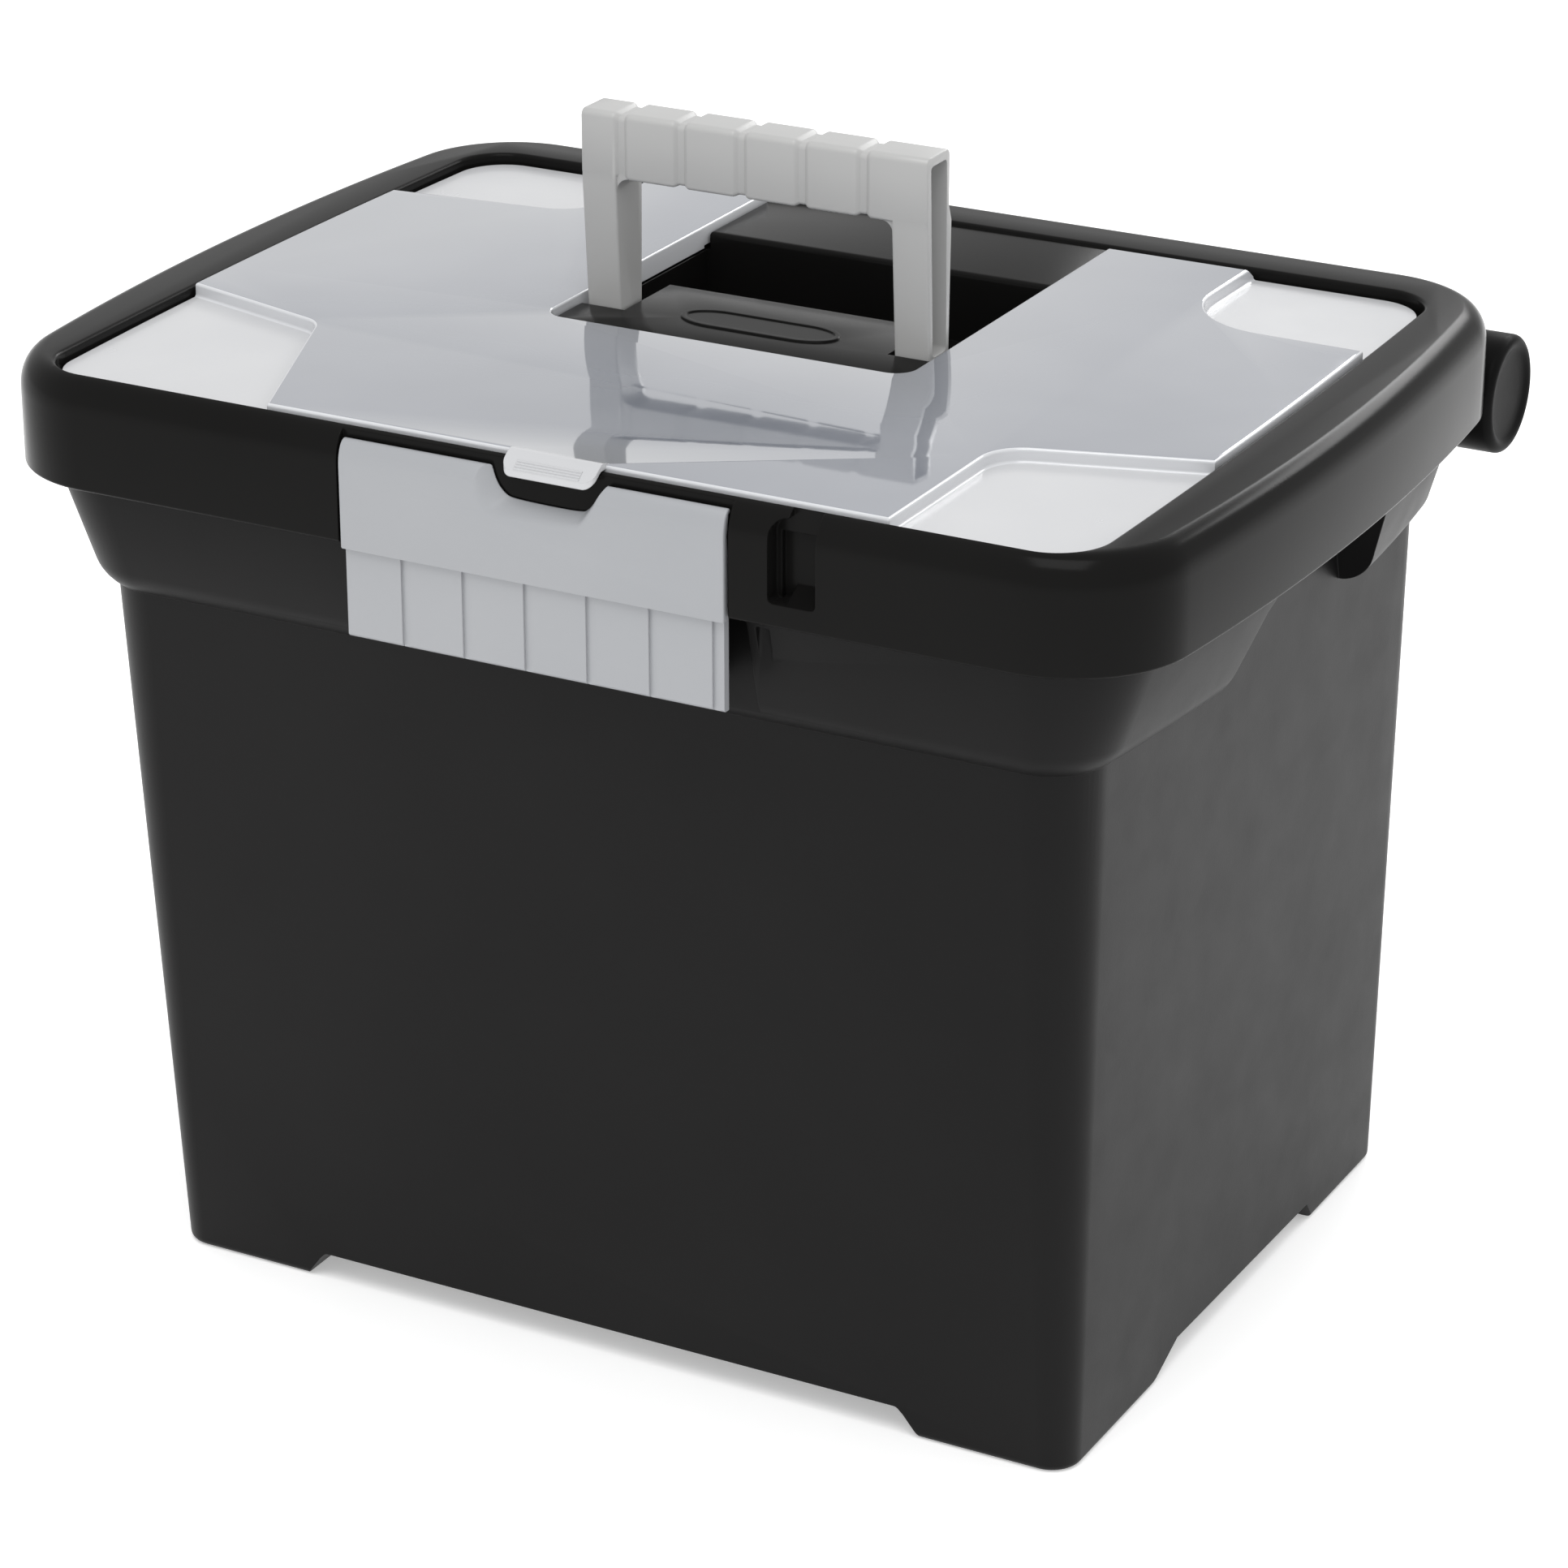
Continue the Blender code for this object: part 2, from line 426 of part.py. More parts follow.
    # latch recess and lock pocket in the front
    cut(lid, box("recess", LATCH_X - LATCH_HX - RECESS_SIDE, LATCH_X + LATCH_HX + RECESS_SIDE,
                 -150 * MM, RECESS_Y, 240 * MM, 280 * MM))
    c = POCKET_R
    pocket = [(POCKET_X0, POCKET_Z0), (POCKET_X1, POCKET_Z0), (POCKET_X1, POCKET_Z1 + 4 * MM),
              (POCKET_X0 + c, POCKET_Z1 + 4 * MM), (POCKET_X0 + c, POCKET_Z1)]
    pocket += [(POCKET_X0 + c * (1 - math.sin(a)), POCKET_Z1 - c * (1 - math.cos(a)))
               for a in (math.pi / 2 * i / 4 for i in range(1, 5))]
    cut(lid, wall("pocket", pocket, -150 * MM, POCKET_Y),
        box("deep", POCKET_X0, POCKET_X1, POCKET_Y - 1 * MM, POCKET_DEEP_Y, POCKET_Z0, POCKET_DEEP_Z))
    # rear barrels and their webs
    for side in (-1, 1):
        a, b = sorted((side * (LUG_X0 - 0.8 * MM), side * (LUG_X1 + 0.3 * MM)))
        cut(lid, rod("clear", a, b, HINGE_Y, HINGE_Z, BARREL_R + BARREL_CLEAR, 32))
        x0, x1 = sorted((side * BARREL_X0, side * BARREL_X1))
        barrel = rod("barrel", x0, x1, HINGE_Y, HINGE_Z, BARREL_R, 32)
        web = slab("web", [(LID_Y1 - 1.6 * MM, HINGE_Z + 4.5 * MM), (HINGE_Y, HINGE_Z + 4 * MM),
                           (HINGE_Y + 7 * MM, HINGE_Z + 6 * MM), (LID_Y1 + 1.5 * MM, 264 * MM),
                           (LID_Y1 - 1.6 * MM, 264 * MM)], x0, x1)
        join(lid, join(barrel, web))
        cut(lid, rod("bore", x0 - 2 * MM, x1 + 2 * MM, HINGE_Y, HINGE_Z, HINGE_PIN_R + BORE_CLEAR, 24))
        x0, x1 = sorted((side * (HEAD_X0 - END_CLEAR), side * (HEAD_X1 + 8 * MM)))
        cut(lid, rod("clear", x0, x1, HINGE_Y, HINGE_Z, HINGE_HEAD_R + BARREL_CLEAR, 40))
    # bores for the handle and cover pins
    for side in (-1, 1):
        x0, x1 = sorted((side * (PLATFORM_HX - 4 * MM), side * (BLOCK_HX + 0.4 * MM)))
        cut(lid, rod("bore", x0, x1, PIVOT_Y, PIVOT_Z, HANDLE_PIN_R + BORE_CLEAR, 20))
        x0, x1 = sorted((side * 150 * MM, side * (SEAT_HX + 0.6 * MM)))
        cut(lid, rod("bore", x0, x1, COVER_PIVOT_Y, COVER_PIVOT_Z, COVER_PIN_R + BORE_CLEAR, 16))
    # ribs in the channel, standing just clear of the rim
    for x in (-1, 1):
        for y in REST_RIB_Y:
            bulge = SIDE_BOW * ((2 * y - LID_Y0 - LID_Y1) / (LID_Y1 - LID_Y0)) ** 2
            a, b = sorted((x * REST_RIB_X0, x * (LID_HX - bulge - 1.6 * MM)))
            join(lid, box("rib", a, b, y - REST_RIB_T / 2, y + REST_RIB_T / 2, RIM_Z + 0.5 * MM, 267.6 * MM))
    return finish(lid, "lid_shell", (0.024, 0.024, 0.025), 0.4)


def rounded_corner(start, corner, end, radius, steps=7):
    """Points from start to end with the corner between them rounded off."""
    def unit(p, q):
        length = math.dist(p, q)
        return (q[0] - p[0]) / length, (q[1] - p[1]) / length

    ua, ub = unit(corner, start), unit(corner, end)
    half = math.acos(ua[0] * ub[0] + ua[1] * ub[1]) / 2
    reach = radius / math.tan(half)
    bis = unit((0, 0), (ua[0] + ub[0], ua[1] + ub[1]))
    centre = (corner[0] + bis[0] * radius / math.sin(half), corner[1] + bis[1] * radius / math.sin(half))
    first = math.atan2(corner[1] + ua[1] * reach - centre[1], corner[0] + ua[0] * reach - centre[0])
    last = math.atan2(corner[1] + ub[1] * reach - centre[1], corner[0] + ub[0] * reach - centre[0])
    sweep = (last - first + math.pi) % (2 * math.pi) - math.pi
    arc = [(centre[0] + radius * math.cos(first + sweep * i / steps),
            centre[1] + radius * math.sin(first + sweep * i / steps)) for i in range(steps + 1)]
    return [start, *arc, end]


def pad_rings(grow=0.0):
    """Closed outlines of the four lowered corner pads, grown towards the middle."""
    rings = []
    for start, corner, end, radius in PADS:
        path = rounded_corner(start, corner, end, radius)
        out_x, out_y = math.copysign(175, end[0]), math.copysign(150, start[1])
        path += [(out_x, out_y), (start[0], out_y)]
        dx, dy = -math.copysign(grow, end[0]), -math.copysign(grow, start[1])
        rings.append([(x * MM + dx, y * MM + dy) for x, y in path])
    return rings


def make_cover():
    ring = seat_ring(COVER_GAP, COVER_Y1, COVER_BOW)
    under = PAD_Z - COVER_T
    cover = prism("cover", ring, under, RAISED_Z)
    for pad in pad_rings():
        cut(cover, prism("pad", pad, PAD_Z, RAISED_Z + 5 * MM))
    # hollow below the raised cross
    inside = seat_ring(COVER_GAP + COVER_T, COVER_Y1 - COVER_T, COVER_BOW)
    pocket = prism("pocket", inside, under - 2 * MM, RAISED_Z - COVER_T)
    for pad in pad_rings(COVER_T):
        cut(pocket, prism("pad", pad, under - 5 * MM, RAISED_Z + 5 * MM))
    cut(pocket, box("rim", -TROUGH_HX - COVER_T, TROUGH_HX + COVER_T, NOTCH_Y - COVER_T, 120 * MM,
                    under - 5 * MM, RAISED_Z + 5 * MM))
    cut(cover, pocket)
    # down-turned rim round the handle opening, then the opening itself
    join(cover, box("rim", -TROUGH_HX - COVER_T, TROUGH_HX + COVER_T, NOTCH_Y - COVER_T, DECK_Y - 2 * MM,
                    RIM_DROP_Z, under + 1 * MM))
    cut(cover, prism("hole", notch_ring(0, 120 * MM), 260 * MM, 280 * MM))
    # sloped back edge, so that it clears the lid as the cover opens
    back, slope = COVER_Y1, COVER_BACK_CHAMFER
    cut(cover, slab("slope", [(back - slope, RAISED_Z + 0.01 * MM), (back + 1 * MM, RAISED_Z + 0.01 * MM),
                              (back + 1 * MM, RAISED_Z - 0.75 * slope), (back, RAISED_Z - 0.75 * slope)],
                    -SEAT_HX, SEAT_HX))
    # lift tab at the front
    tab = slab("tab", [(TAB_ROOT_Y, TAB_TOP_Z), (TAB_BEND_Y, TAB_TOP_Z), (TAB_Y, TAB_END_Z),
                       (TAB_Y, TAB_END_Z - TAB_T), (TAB_BEND_Y - TAB_T * 0.4, TAB_TOP_Z - TAB_T),
                       (TAB_ROOT_Y, TAB_TOP_Z - TAB_T)], TAB_X0, TAB_X1)
    ease = 0.3 * TAB_R
    plan = [(TAB_X0, TAB_ROOT_Y + 1 * MM), (TAB_X0, TAB_Y + TAB_R), (TAB_X0 + ease, TAB_Y + ease),
            (TAB_X0 + TAB_R, TAB_Y), (TAB_X1 - TAB_R, TAB_Y), (TAB_X1 - ease, TAB_Y + ease),
            (TAB_X1, TAB_Y + TAB_R), (TAB_X1, TAB_ROOT_Y + 1 * MM)]
    join(cover, keep(tab, prism("plan", plan, 260 * MM, 280 * MM)))
    # pivot barrels
    for side in (-1, 1):
        x0, x1 = sorted((side * COVER_BARREL_X0, side * COVER_BARREL_X1))
        join(cover, rod("barrel", x0, x1, COVER_PIVOT_Y, COVER_PIVOT_Z, COVER_BARREL_R, 20))
        x0, x1 = sorted((side * (COVER_BARREL_X0 - 1 * MM), side * SEAT_HX))
        cut(cover, rod("bore", x0, x1, COVER_PIVOT_Y, COVER_PIVOT_Z, COVER_PIN_R + BORE_CLEAR, 16))
    return finish(cover, "organizer_cover", (0.75, 0.78, 0.82), 0.15, 0.55)


def make_handle():
    y0, y1 = HANDLE_Y0, HANDLE_Y1
    r, ease = GRIP_R, 0.3 * GRIP_R
    grip = [(y0, GRIP_Z0), (y0, GRIP_Z1 - r), (y0 + ease, GRIP_Z1 - ease), (y0 + r, GRIP_Z1),
            (GRIP_BACK_Y - r, GRIP_Z1), (GRIP_BACK_Y - ease, GRIP_Z1 - ease), (GRIP_BACK_Y, GRIP_Z1 - r),
            (GRIP_BACK_Y, GRIP_Z0)]
    handle = slab("handle", grip, -HANDLE_HX, HANDLE_HX)
    # shallow bands round the grip; the core stands for the material left inside each band
    mid_y, mid_z = (y0 + GRIP_BACK_Y) / 2, (GRIP_Z0 + GRIP_Z1) / 2
    core_ring = [(y - math.copysign(GROOVE_D, y - mid_y), z - (GROOVE_D if z > mid_z else r + 5 * MM))
                 for y, z in grip]
    for k in range(-2, 3):
        x = GROOVE_X + k * GROOVE_PITCH
        band = box("band", x - GROOVE_W / 2, x + GROOVE_W / 2, y0 - 5 * MM, GRIP_BACK_Y + 5 * MM,
                   GRIP_Z0 - 3 * MM, GRIP_Z1 + 5 * MM)
        cut(handle, cut(band, slab("core", core_ring, x - GROOVE_W, x + GROOVE_W)))
    inner = HANDLE_HX - LEG_W
    for side in (-1, 1):
        x0, x1 = sorted((side * inner, side * HANDLE_HX))
        foot = [(PIVOT_Y + LEG_FOOT_R * math.sin(a), PIVOT_Z - LEG_FOOT_R * math.cos(a))
                for a in (-math.pi / 2 + math.pi * i / 10 for i in range(11))]
        leg = foot + [(LEG_LOW_Y1, LEG_LOW_Z), (y1, GRIP_Z0 - LEG_BLEND), (GRIP_BACK_Y, GRIP_Z0 + LEG_BLEND),
                      (y0, GRIP_Z0 + LEG_BLEND), (y0, GRIP_Z0 - LEG_BLEND), (LEG_LOW_Y0, LEG_LOW_Z)]
        join(handle, slab("leg", leg, x0, x1))
        gusset = wall("gusset", [(side * (inner - 3.3 * MM), GRIP_Z0 + 0.5 * MM),
                                 (side * (inner + 0.1 * MM), GRIP_Z0 + 0.5 * MM),
                                 (side * (inner + 0.1 * MM), GRIP_Z0 - 3.1 * MM),
                                 (side * (inner - 0.9 * MM), GRIP_Z0 - 2.3 * MM)],
                      y0 + 0.3 * MM, GRIP_BACK_Y)
        join(handle, gusset)
        a, b = sorted((side * (inner + CHANNEL_WALL), side * (HANDLE_HX + 2 * MM)))
        low, high = LEG_LOW_Z, GRIP_Z1 - CHANNEL_TOP
        channel = [(LEG_LOW_Y0 + CHANNEL_WALL, low), (LEG_LOW_Y1 - CHANNEL_WALL, low),
                   (GRIP_BACK_Y - CHANNEL_WALL, high), (y0 + CHANNEL_WALL, high)]
        cut(handle, slab("channel", channel, a, b))
        a, b = sorted((side * (inner - 4 * MM), side * (HANDLE_HX + 4 * MM)))
        cut(handle, rod("bore", a, b, PIVOT_Y, PIVOT_Z, HANDLE_PIN_R + BORE_CLEAR, 20))
    return finish(handle, "carry_handle", (0.43, 0.43, 0.42), 0.42)


def scoop_ring(points, grow=0.0):
    """Outline of the finger notch in the XZ plane, its sides and floor moved outwards by grow."""
    centre = (points[0][0] + points[-1][0]) / 2 * MM
    return [(x * MM + math.copysign(grow, x * MM - centre), z * MM - grow) for x, z in points]


def make_latch():
    x0, x1 = LATCH_X - LATCH_HX, LATCH_X + LATCH_HX
    y, t, top, r = LATCH_Y, LATCH_T, LATCH_Z1, LATCH_TOP_R
    outer = [(y + r * (1 - math.cos(a)) * LATCH_TOP_REACH, top - r + r * math.sin(a))
             for a in (math.pi / 2 * i / 6 for i in range(7))]
    tip = outer[-1]
    inner = [(tip[0], tip[1] - LATCH_LIP), (y + t - 0.4 * MM, top - r), (y + t, top - r - 4 * MM)]
    latch = slab("latch", [(y, LATCH_STEP_Z)] + outer + inner + [(y + t, LATCH_STEP_Z)], x0, x1)
    back, edge = y + LATCH_LOW_T, 0.6 * MM
    low = [(LATCH_RIB_Y, LATCH_Z0 + edge), (LATCH_RIB_Y, LATCH_STEP_Z + 1 * MM),
           (back, LATCH_STEP_Z + 1 * MM), (back, LATCH_Z0), (LATCH_RIB_Y + edge, LATCH_Z0)]
    join(latch, slab("lower", low, x0 + LATCH_LOW_SIDE, x1 - LATCH_LOW_SIDE))
    # ribbed panels: a short ramp rises from each groove to the next flat panel
    for k in range(6):
        a = RIB_X + k * RIB_PITCH
        ramp = prism("ramp", [(a, LATCH_RIB_Y - 1 * MM), (a + RIB_RAMP, LATCH_RIB_Y - 1 * MM),
                              (a + RIB_RAMP, LATCH_RIB_Y), (a, LATCH_RIB_Y + RIB_D)],
                     LATCH_Z0 - 1 * MM, LATCH_STEP_Z - 0.1 * MM)
        cut(latch, ramp)
    # finger notch: walls and floor run back from the front face and close in as they go
    body = keep(wall("scoop", scoop_ring(SCOOP_FRONT, SCOOP_WALL), y + t - 0.4 * MM, SCOOP_BACK_Y),
                box("limit", x0, x1, y, SCOOP_BACK_Y + 1 * MM, 250 * MM, SCOOP_TOP_Z))
    join(latch, body)
    front, rear = scoop_ring(SCOOP_FRONT), scoop_ring(SCOOP_BACK)
    depth = SCOOP_BACK_Y - y
    n = len(front)
    verts = []
    for s in (-0.4, 1.4):
        verts += [(x + (xr - x) * s, y + depth * s, z + (zr - z) * s)
                  for (x, z), (xr, zr) in zip(front, rear)]
    faces = [tuple(range(n)), tuple(range(n, 2 * n))]
    faces += [(i, (i + 1) % n, n + (i + 1) % n, n + i) for i in range(n)]
    cut(latch, mesh_object("notch", verts, faces))
    # pivot arms between the bin lugs
    for x in LATCH_ARM_X:
        a, b = LATCH_X + x - LUG_HALF, LATCH_X + x + LUG_HALF
        arm = rod("arm", a, b, LATCH_PIVOT_Y, LATCH_PIVOT_Z, LATCH_LUG_R, 24)
        web = box("web", a, b, y + t, LATCH_PIVOT_Y, LATCH_PIVOT_Z - LATCH_LUG_R, LATCH_PIVOT_Z + LATCH_LUG_R)
        join(latch, join(arm, web))
    cut(latch, rod("bore", LATCH_X - 36 * MM, LATCH_X + 36 * MM, LATCH_PIVOT_Y, LATCH_PIVOT_Z,
                   LATCH_PIN_R + BORE_CLEAR, 20))
    return finish(latch, "front_latch", (0.44, 0.45, 0.47), 0.4)


def make_hinge_pin(side, suffix):
    """Plain pin through the rear barrels with a dished round head at its outer end."""
    x0, x1 = sorted((side * (LUG_X0 + 1 * MM), side * (HEAD_X0 + 1 * MM)))
    pin = rod("pin", x0, x1, HINGE_Y, HINGE_Z, HINGE_PIN_R, 24)
    inner, outer, r, n = HEAD_X0, HEAD_X1, HINGE_HEAD_R, 40
    profile = ((inner, r - 1 * MM), (inner + 0.8 * MM, r), (outer - 2.4 * MM, r),
               (outer - 0.6 * MM, r - 0.9 * MM), (outer, r - 2.4 * MM),
               (outer - 0.3 * MM, r - 3.8 * MM), (outer - 1.4 * MM, r - 6.5 * MM))
    verts = [(side * x, y, z) for x, radius in profile for y, z in disc(HINGE_Y, HINGE_Z, radius, n)]
    faces = [tuple(range(n)), tuple(range(len(verts) - n, len(verts)))]
    for k in range(len(profile) - 1):
        faces += [(k * n + i, k * n + (i + 1) % n, (k + 1) * n + (i + 1) % n, (k + 1) * n + i)
                  for i in range(n)]
    join(pin, mesh_object("head", verts, faces))
    return finish(pin, "hinge_pin_" + suffix, (0.03, 0.03, 0.031), 0.4)


def make_handle_pin(side, suffix):
    x0, x1 = sorted((side * (PLATFORM_HX - 2.2 * MM), side * (BLOCK_HX - 0.6 * MM)))
    pin = rod("pin", x0, x1, PIVOT_Y, PIVOT_Z, HANDLE_PIN_R, 20)
    return finish(pin, "handle_pin_" + suffix, (0.45, 0.45, 0.44), 0.4)


def make_cover_pin(side, suffix):
    x0, x1 = sorted((side * (COVER_BARREL_X0 + 0.4 * MM), side * SEAT_HX))
    pin = rod("pin", x0, x1, COVER_PIVOT_Y, COVER_PIVOT_Z, COVER_PIN_R, 16)
    return finish(pin, "cover_pin_" + suffix, (0.8, 0.8, 0.8), 0.3)


def make_latch_pin():
    pin = rod("pin", LATCH_X - 44.6 * MM, LATCH_X + 44.6 * MM, LATCH_PIVOT_Y, LATCH_PIVOT_Z, LATCH_PIN_R, 20)
    return finish(pin, "latch_pin", (0.6, 0.6, 0.6), 0.3)


hinge_at = (0, HINGE_Y, HINGE_Z)
cover_at = (0, COVER_PIVOT_Y, COVER_PIVOT_Z)
handle_at = (0, PIVOT_Y, PIVOT_Z)
latch_at = (LATCH_X, LATCH_PIVOT_Y, LATCH_PIVOT_Z)

lid_axis = axis_empty("lid_axis", hinge_at)
cover_axis = axis_empty("cover_axis", cover_at, lid_axis)
handle_axis = axis_empty("handle_axis", handle_at, lid_axis)
latch_axis = axis_empty("latch_axis", latch_at)

make_bin()
make_latch_pin()
hang(make_lid(), lid_axis, hinge_at)
hang(make_cover(), cover_axis, cover_at)
hang(make_handle(), handle_axis, handle_at)
hang(make_latch(), latch_axis, latch_at)
for hand, suffix in ((-1, "left"), (1, "right")):
    make_hinge_pin(hand, suffix)
    hang(make_handle_pin(hand, suffix), lid_axis, hinge_at)
    hang(make_cover_pin(hand, suffix), lid_axis, hinge_at)
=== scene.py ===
"""Visual model of the tool storage caddy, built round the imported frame. Metres, +Z up, latch towards -Y."""
import math

import bmesh
import bpy
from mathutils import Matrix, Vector


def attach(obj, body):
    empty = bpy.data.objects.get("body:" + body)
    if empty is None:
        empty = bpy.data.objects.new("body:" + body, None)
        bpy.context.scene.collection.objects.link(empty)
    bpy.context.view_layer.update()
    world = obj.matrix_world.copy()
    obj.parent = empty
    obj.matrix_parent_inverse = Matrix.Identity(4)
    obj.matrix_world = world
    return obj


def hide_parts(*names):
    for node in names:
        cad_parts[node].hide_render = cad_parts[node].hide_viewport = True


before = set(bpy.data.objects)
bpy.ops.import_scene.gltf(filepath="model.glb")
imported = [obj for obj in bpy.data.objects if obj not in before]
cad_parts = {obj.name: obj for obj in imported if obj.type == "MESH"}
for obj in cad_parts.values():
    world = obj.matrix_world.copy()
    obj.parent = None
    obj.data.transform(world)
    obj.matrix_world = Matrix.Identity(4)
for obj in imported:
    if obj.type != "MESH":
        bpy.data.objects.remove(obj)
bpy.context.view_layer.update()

MM = 0.001
CURVE = 10
ROUND = 48
# how far cutters reach past the box: in front, behind, below the lid's floor and above the lid
CUT_FRONT, CUT_BACK, CUT_LOW, CUT_HIGH = -150 * MM, 120 * MM, 240 * MM, 280 * MM
SHARP_ANGLE = 32

# ---- sizes of the bin ----------------------------------------------------------
FOOT_HX, FOOT_Y0, FOOT_Y1, FOOT_R = 142.2 * MM, -105.5 * MM, 111.9 * MM, 9 * MM
BODY_HX, BODY_Y0, BODY_Y1, BODY_R = 147.8 * MM, -121.2 * MM, 112.2 * MM, 17 * MM
BODY_TOP_Z, BODY_RIM_Z, RIM_Z = 208 * MM, 225 * MM, 241.9 * MM
BIN_WALL, BIN_FLOOR_Z, FOOT_EDGE_R = 2.6 * MM, 11.5 * MM, 2.2 * MM
# rounded edge of the inner floor: wall height whose outline it takes, extra inset, rise above the floor (mm)
FLOOR_EDGE = ((6, 2, 0), (7, 0.6, 0.8), (9, 0, 2.4))
SIDE_BOW = 8.7 * MM
SKIRT_HX0, SKIRT_Y0 = 158.5 * MM, -124.6 * MM
SKIRT_HX1, SKIRT_Y1 = 168.6 * MM, -132.6 * MM
SKIRT_BACK_Y, SKIRT_Z, SKIRT_UNDER, SKIRT_TUCK = 113.2 * MM, 206.5 * MM, 8.5 * MM, 7.6 * MM
SKIRT_LIP, SKIRT_R0, SKIRT_R_GAIN, SKIRT_FULL_Z = 0.5 * MM, 20, 8, 215 * MM
GRIP_Y0, GRIP_Y1, GRIP_TOP_Z, GRIP_CORNER_R = -58 * MM, 49 * MM, 235.4 * MM, 5 * MM
GRIP_TOP_Y0, GRIP_TOP_Y1, GRIP_CUT_X0, GRIP_CUT_X1 = -40 * MM, 36 * MM, 120 * MM, 190 * MM
ARCH_HX, ARCH_Z, ARCH_SLOPE, ARCH_R = 99 * MM, 8.6 * MM, 7.74 * MM, 2 * MM
# cut between the feet seen from the side (y, z)
SIDE_ARCH = ((-55, -1), (63, -1), (57, 6.6), (-35, 8.2))
RAIL_HX, RAIL_Y, RAIL_Z, RAIL_T, RAIL_ROOT = 118 * MM, 3.4 * MM, 205 * MM, 3 * MM, 1 * MM
LATCH_GAP_Y, LATCH_GAP_LEFT, LATCH_GAP_RIGHT = -124.4 * MM, 1.4 * MM, 1.6 * MM
LATCH_GAP_INNER_Y, LATCH_GAP_Z0, LATCH_GAP_Z1 = -122.6 * MM, 200 * MM, 250 * MM
SIDE_SLOT_X, SIDE_SLOT_W, SIDE_SLOT_Y = 2.4 * MM, 4 * MM, -129.2 * MM
SIDE_SLOT_Z0, SIDE_SLOT_Z1 = 213.5 * MM, 238.5 * MM

# ---- sizes of the lid ----------------------------------------------------------
LID_HX, LID_Y0, LID_Y1, LID_R = 176.2 * MM, -140.2 * MM, 116 * MM, 34 * MM
LID_Z0, CROWN_Z, LID_Z1, CROWN_W = 242.7 * MM, 264 * MM, 273.7 * MM, 6.2 * MM
LID_WALL, LID_EDGE_R = 2.7 * MM, 0.9 * MM
CHANNEL_Z, CHANNEL_UPPER_Z, CHANNEL_UPPER_INSET = 264 * MM, 269 * MM, 5.6 * MM
CORE_OUT, CORE_UPPER_OUT = -1.2 * MM, -2.6 * MM
CHANNEL_GAP_X0, CHANNEL_GAP_X1 = -60 * MM, 90 * MM
SEAT_HX, SEAT_Y0, SEAT_Y1, SEAT_R, SEAT_BOW = 155.6 * MM, -134.4 * MM, 96.5 * MM, 15 * MM, 2 * MM
SEAT_Z, SEAT_LIP, TRAY_INSET = 268.6 * MM, 1.1 * MM, 3 * MM
TRAY_FLOOR_Z, TRAY_UNDER_Z = 248 * MM, 245.4 * MM
DIVIDER, DIVIDER_Y, DIVIDER_Z = 1.8 * MM, -30 * MM, 266.8 * MM
BLOCK_HX, BLOCK_Y0 = 58.3 * MM, -38 * MM
DECK_HX, DECK_Z, DECK_Y, DECK_BACK_Y = 54.7 * MM, 272.6 * MM, 57.5 * MM, 98 * MM
DECK_EDGE, DECK_WALL, DECK_SKIN = 0.7 * MM, 2.6 * MM, 2.8 * MM
PLATFORM_HX, PLATFORM_Y1, SLOT_Y0 = 40.6 * MM, 10 * MM, -16.7 * MM
TROUGH_HX, TROUGH_Z, TROUGH_R, LEDGE_Z = 55.5 * MM, 252 * MM, 1.6 * MM, 267.4 * MM
NOTCH_Y, NOTCH_R = -35.2 * MM, 6 * MM
OVAL_X, OVAL_Y, OVAL_HX, OVAL_HY, OVAL_STRAIGHT = -0.8 * MM, -11.8 * MM, 12 * MM, 7.2 * MM, 12.2 * MM
RECESS_Y, RECESS_SIDE = -136.3 * MM, 1 * MM
POCKET_X0, POCKET_X1, POCKET_Z0, POCKET_Z1 = 70.5 * MM, 84 * MM, 249 * MM, 271.5 * MM
POCKET_R, POCKET_SMALL_R = 5 * MM, 1.5 * MM
POCKET_Y, POCKET_DEEP_Y, POCKET_DEEP_Z, POCKET_STEP_Y = -135 * MM, -133.2 * MM, 267 * MM, -139.6 * MM
REST_RIB_Y, REST_RIB_T, REST_RIB_X0 = (-78 * MM, 0, 62 * MM), 2.2 * MM, 155.2 * MM
REST_RIB_END, REST_RIB_Z = 1.6 * MM, 267.6 * MM

# ---- hinge ---------------------------------------------------------------------
HINGE_Y, HINGE_Z = 124 * MM, 239 * MM
BARREL_R, HINGE_PIN_R, HINGE_HEAD_R = 9.5 * MM, 3.4 * MM, 17 * MM
LUG_X0, LUG_X1 = 104 * MM, 127 * MM
BARREL_X0, BARREL_X1 = 127.6 * MM, 152.4 * MM
HEAD_X0, HEAD_X1, HEAD_EDGE_R = 153 * MM, 166.5 * MM, 2.4 * MM
# dished outer face of the hinge head: depth below its rim and distance in from its edge (mm)
HEAD_DISH = ((0.3, 3.4), (0.8, 4.2), (1.2, 5.4), (1.4, 8))
HEAD_CENTRE_D, HEAD_CENTRE_R = 1.5 * MM, 3 * MM

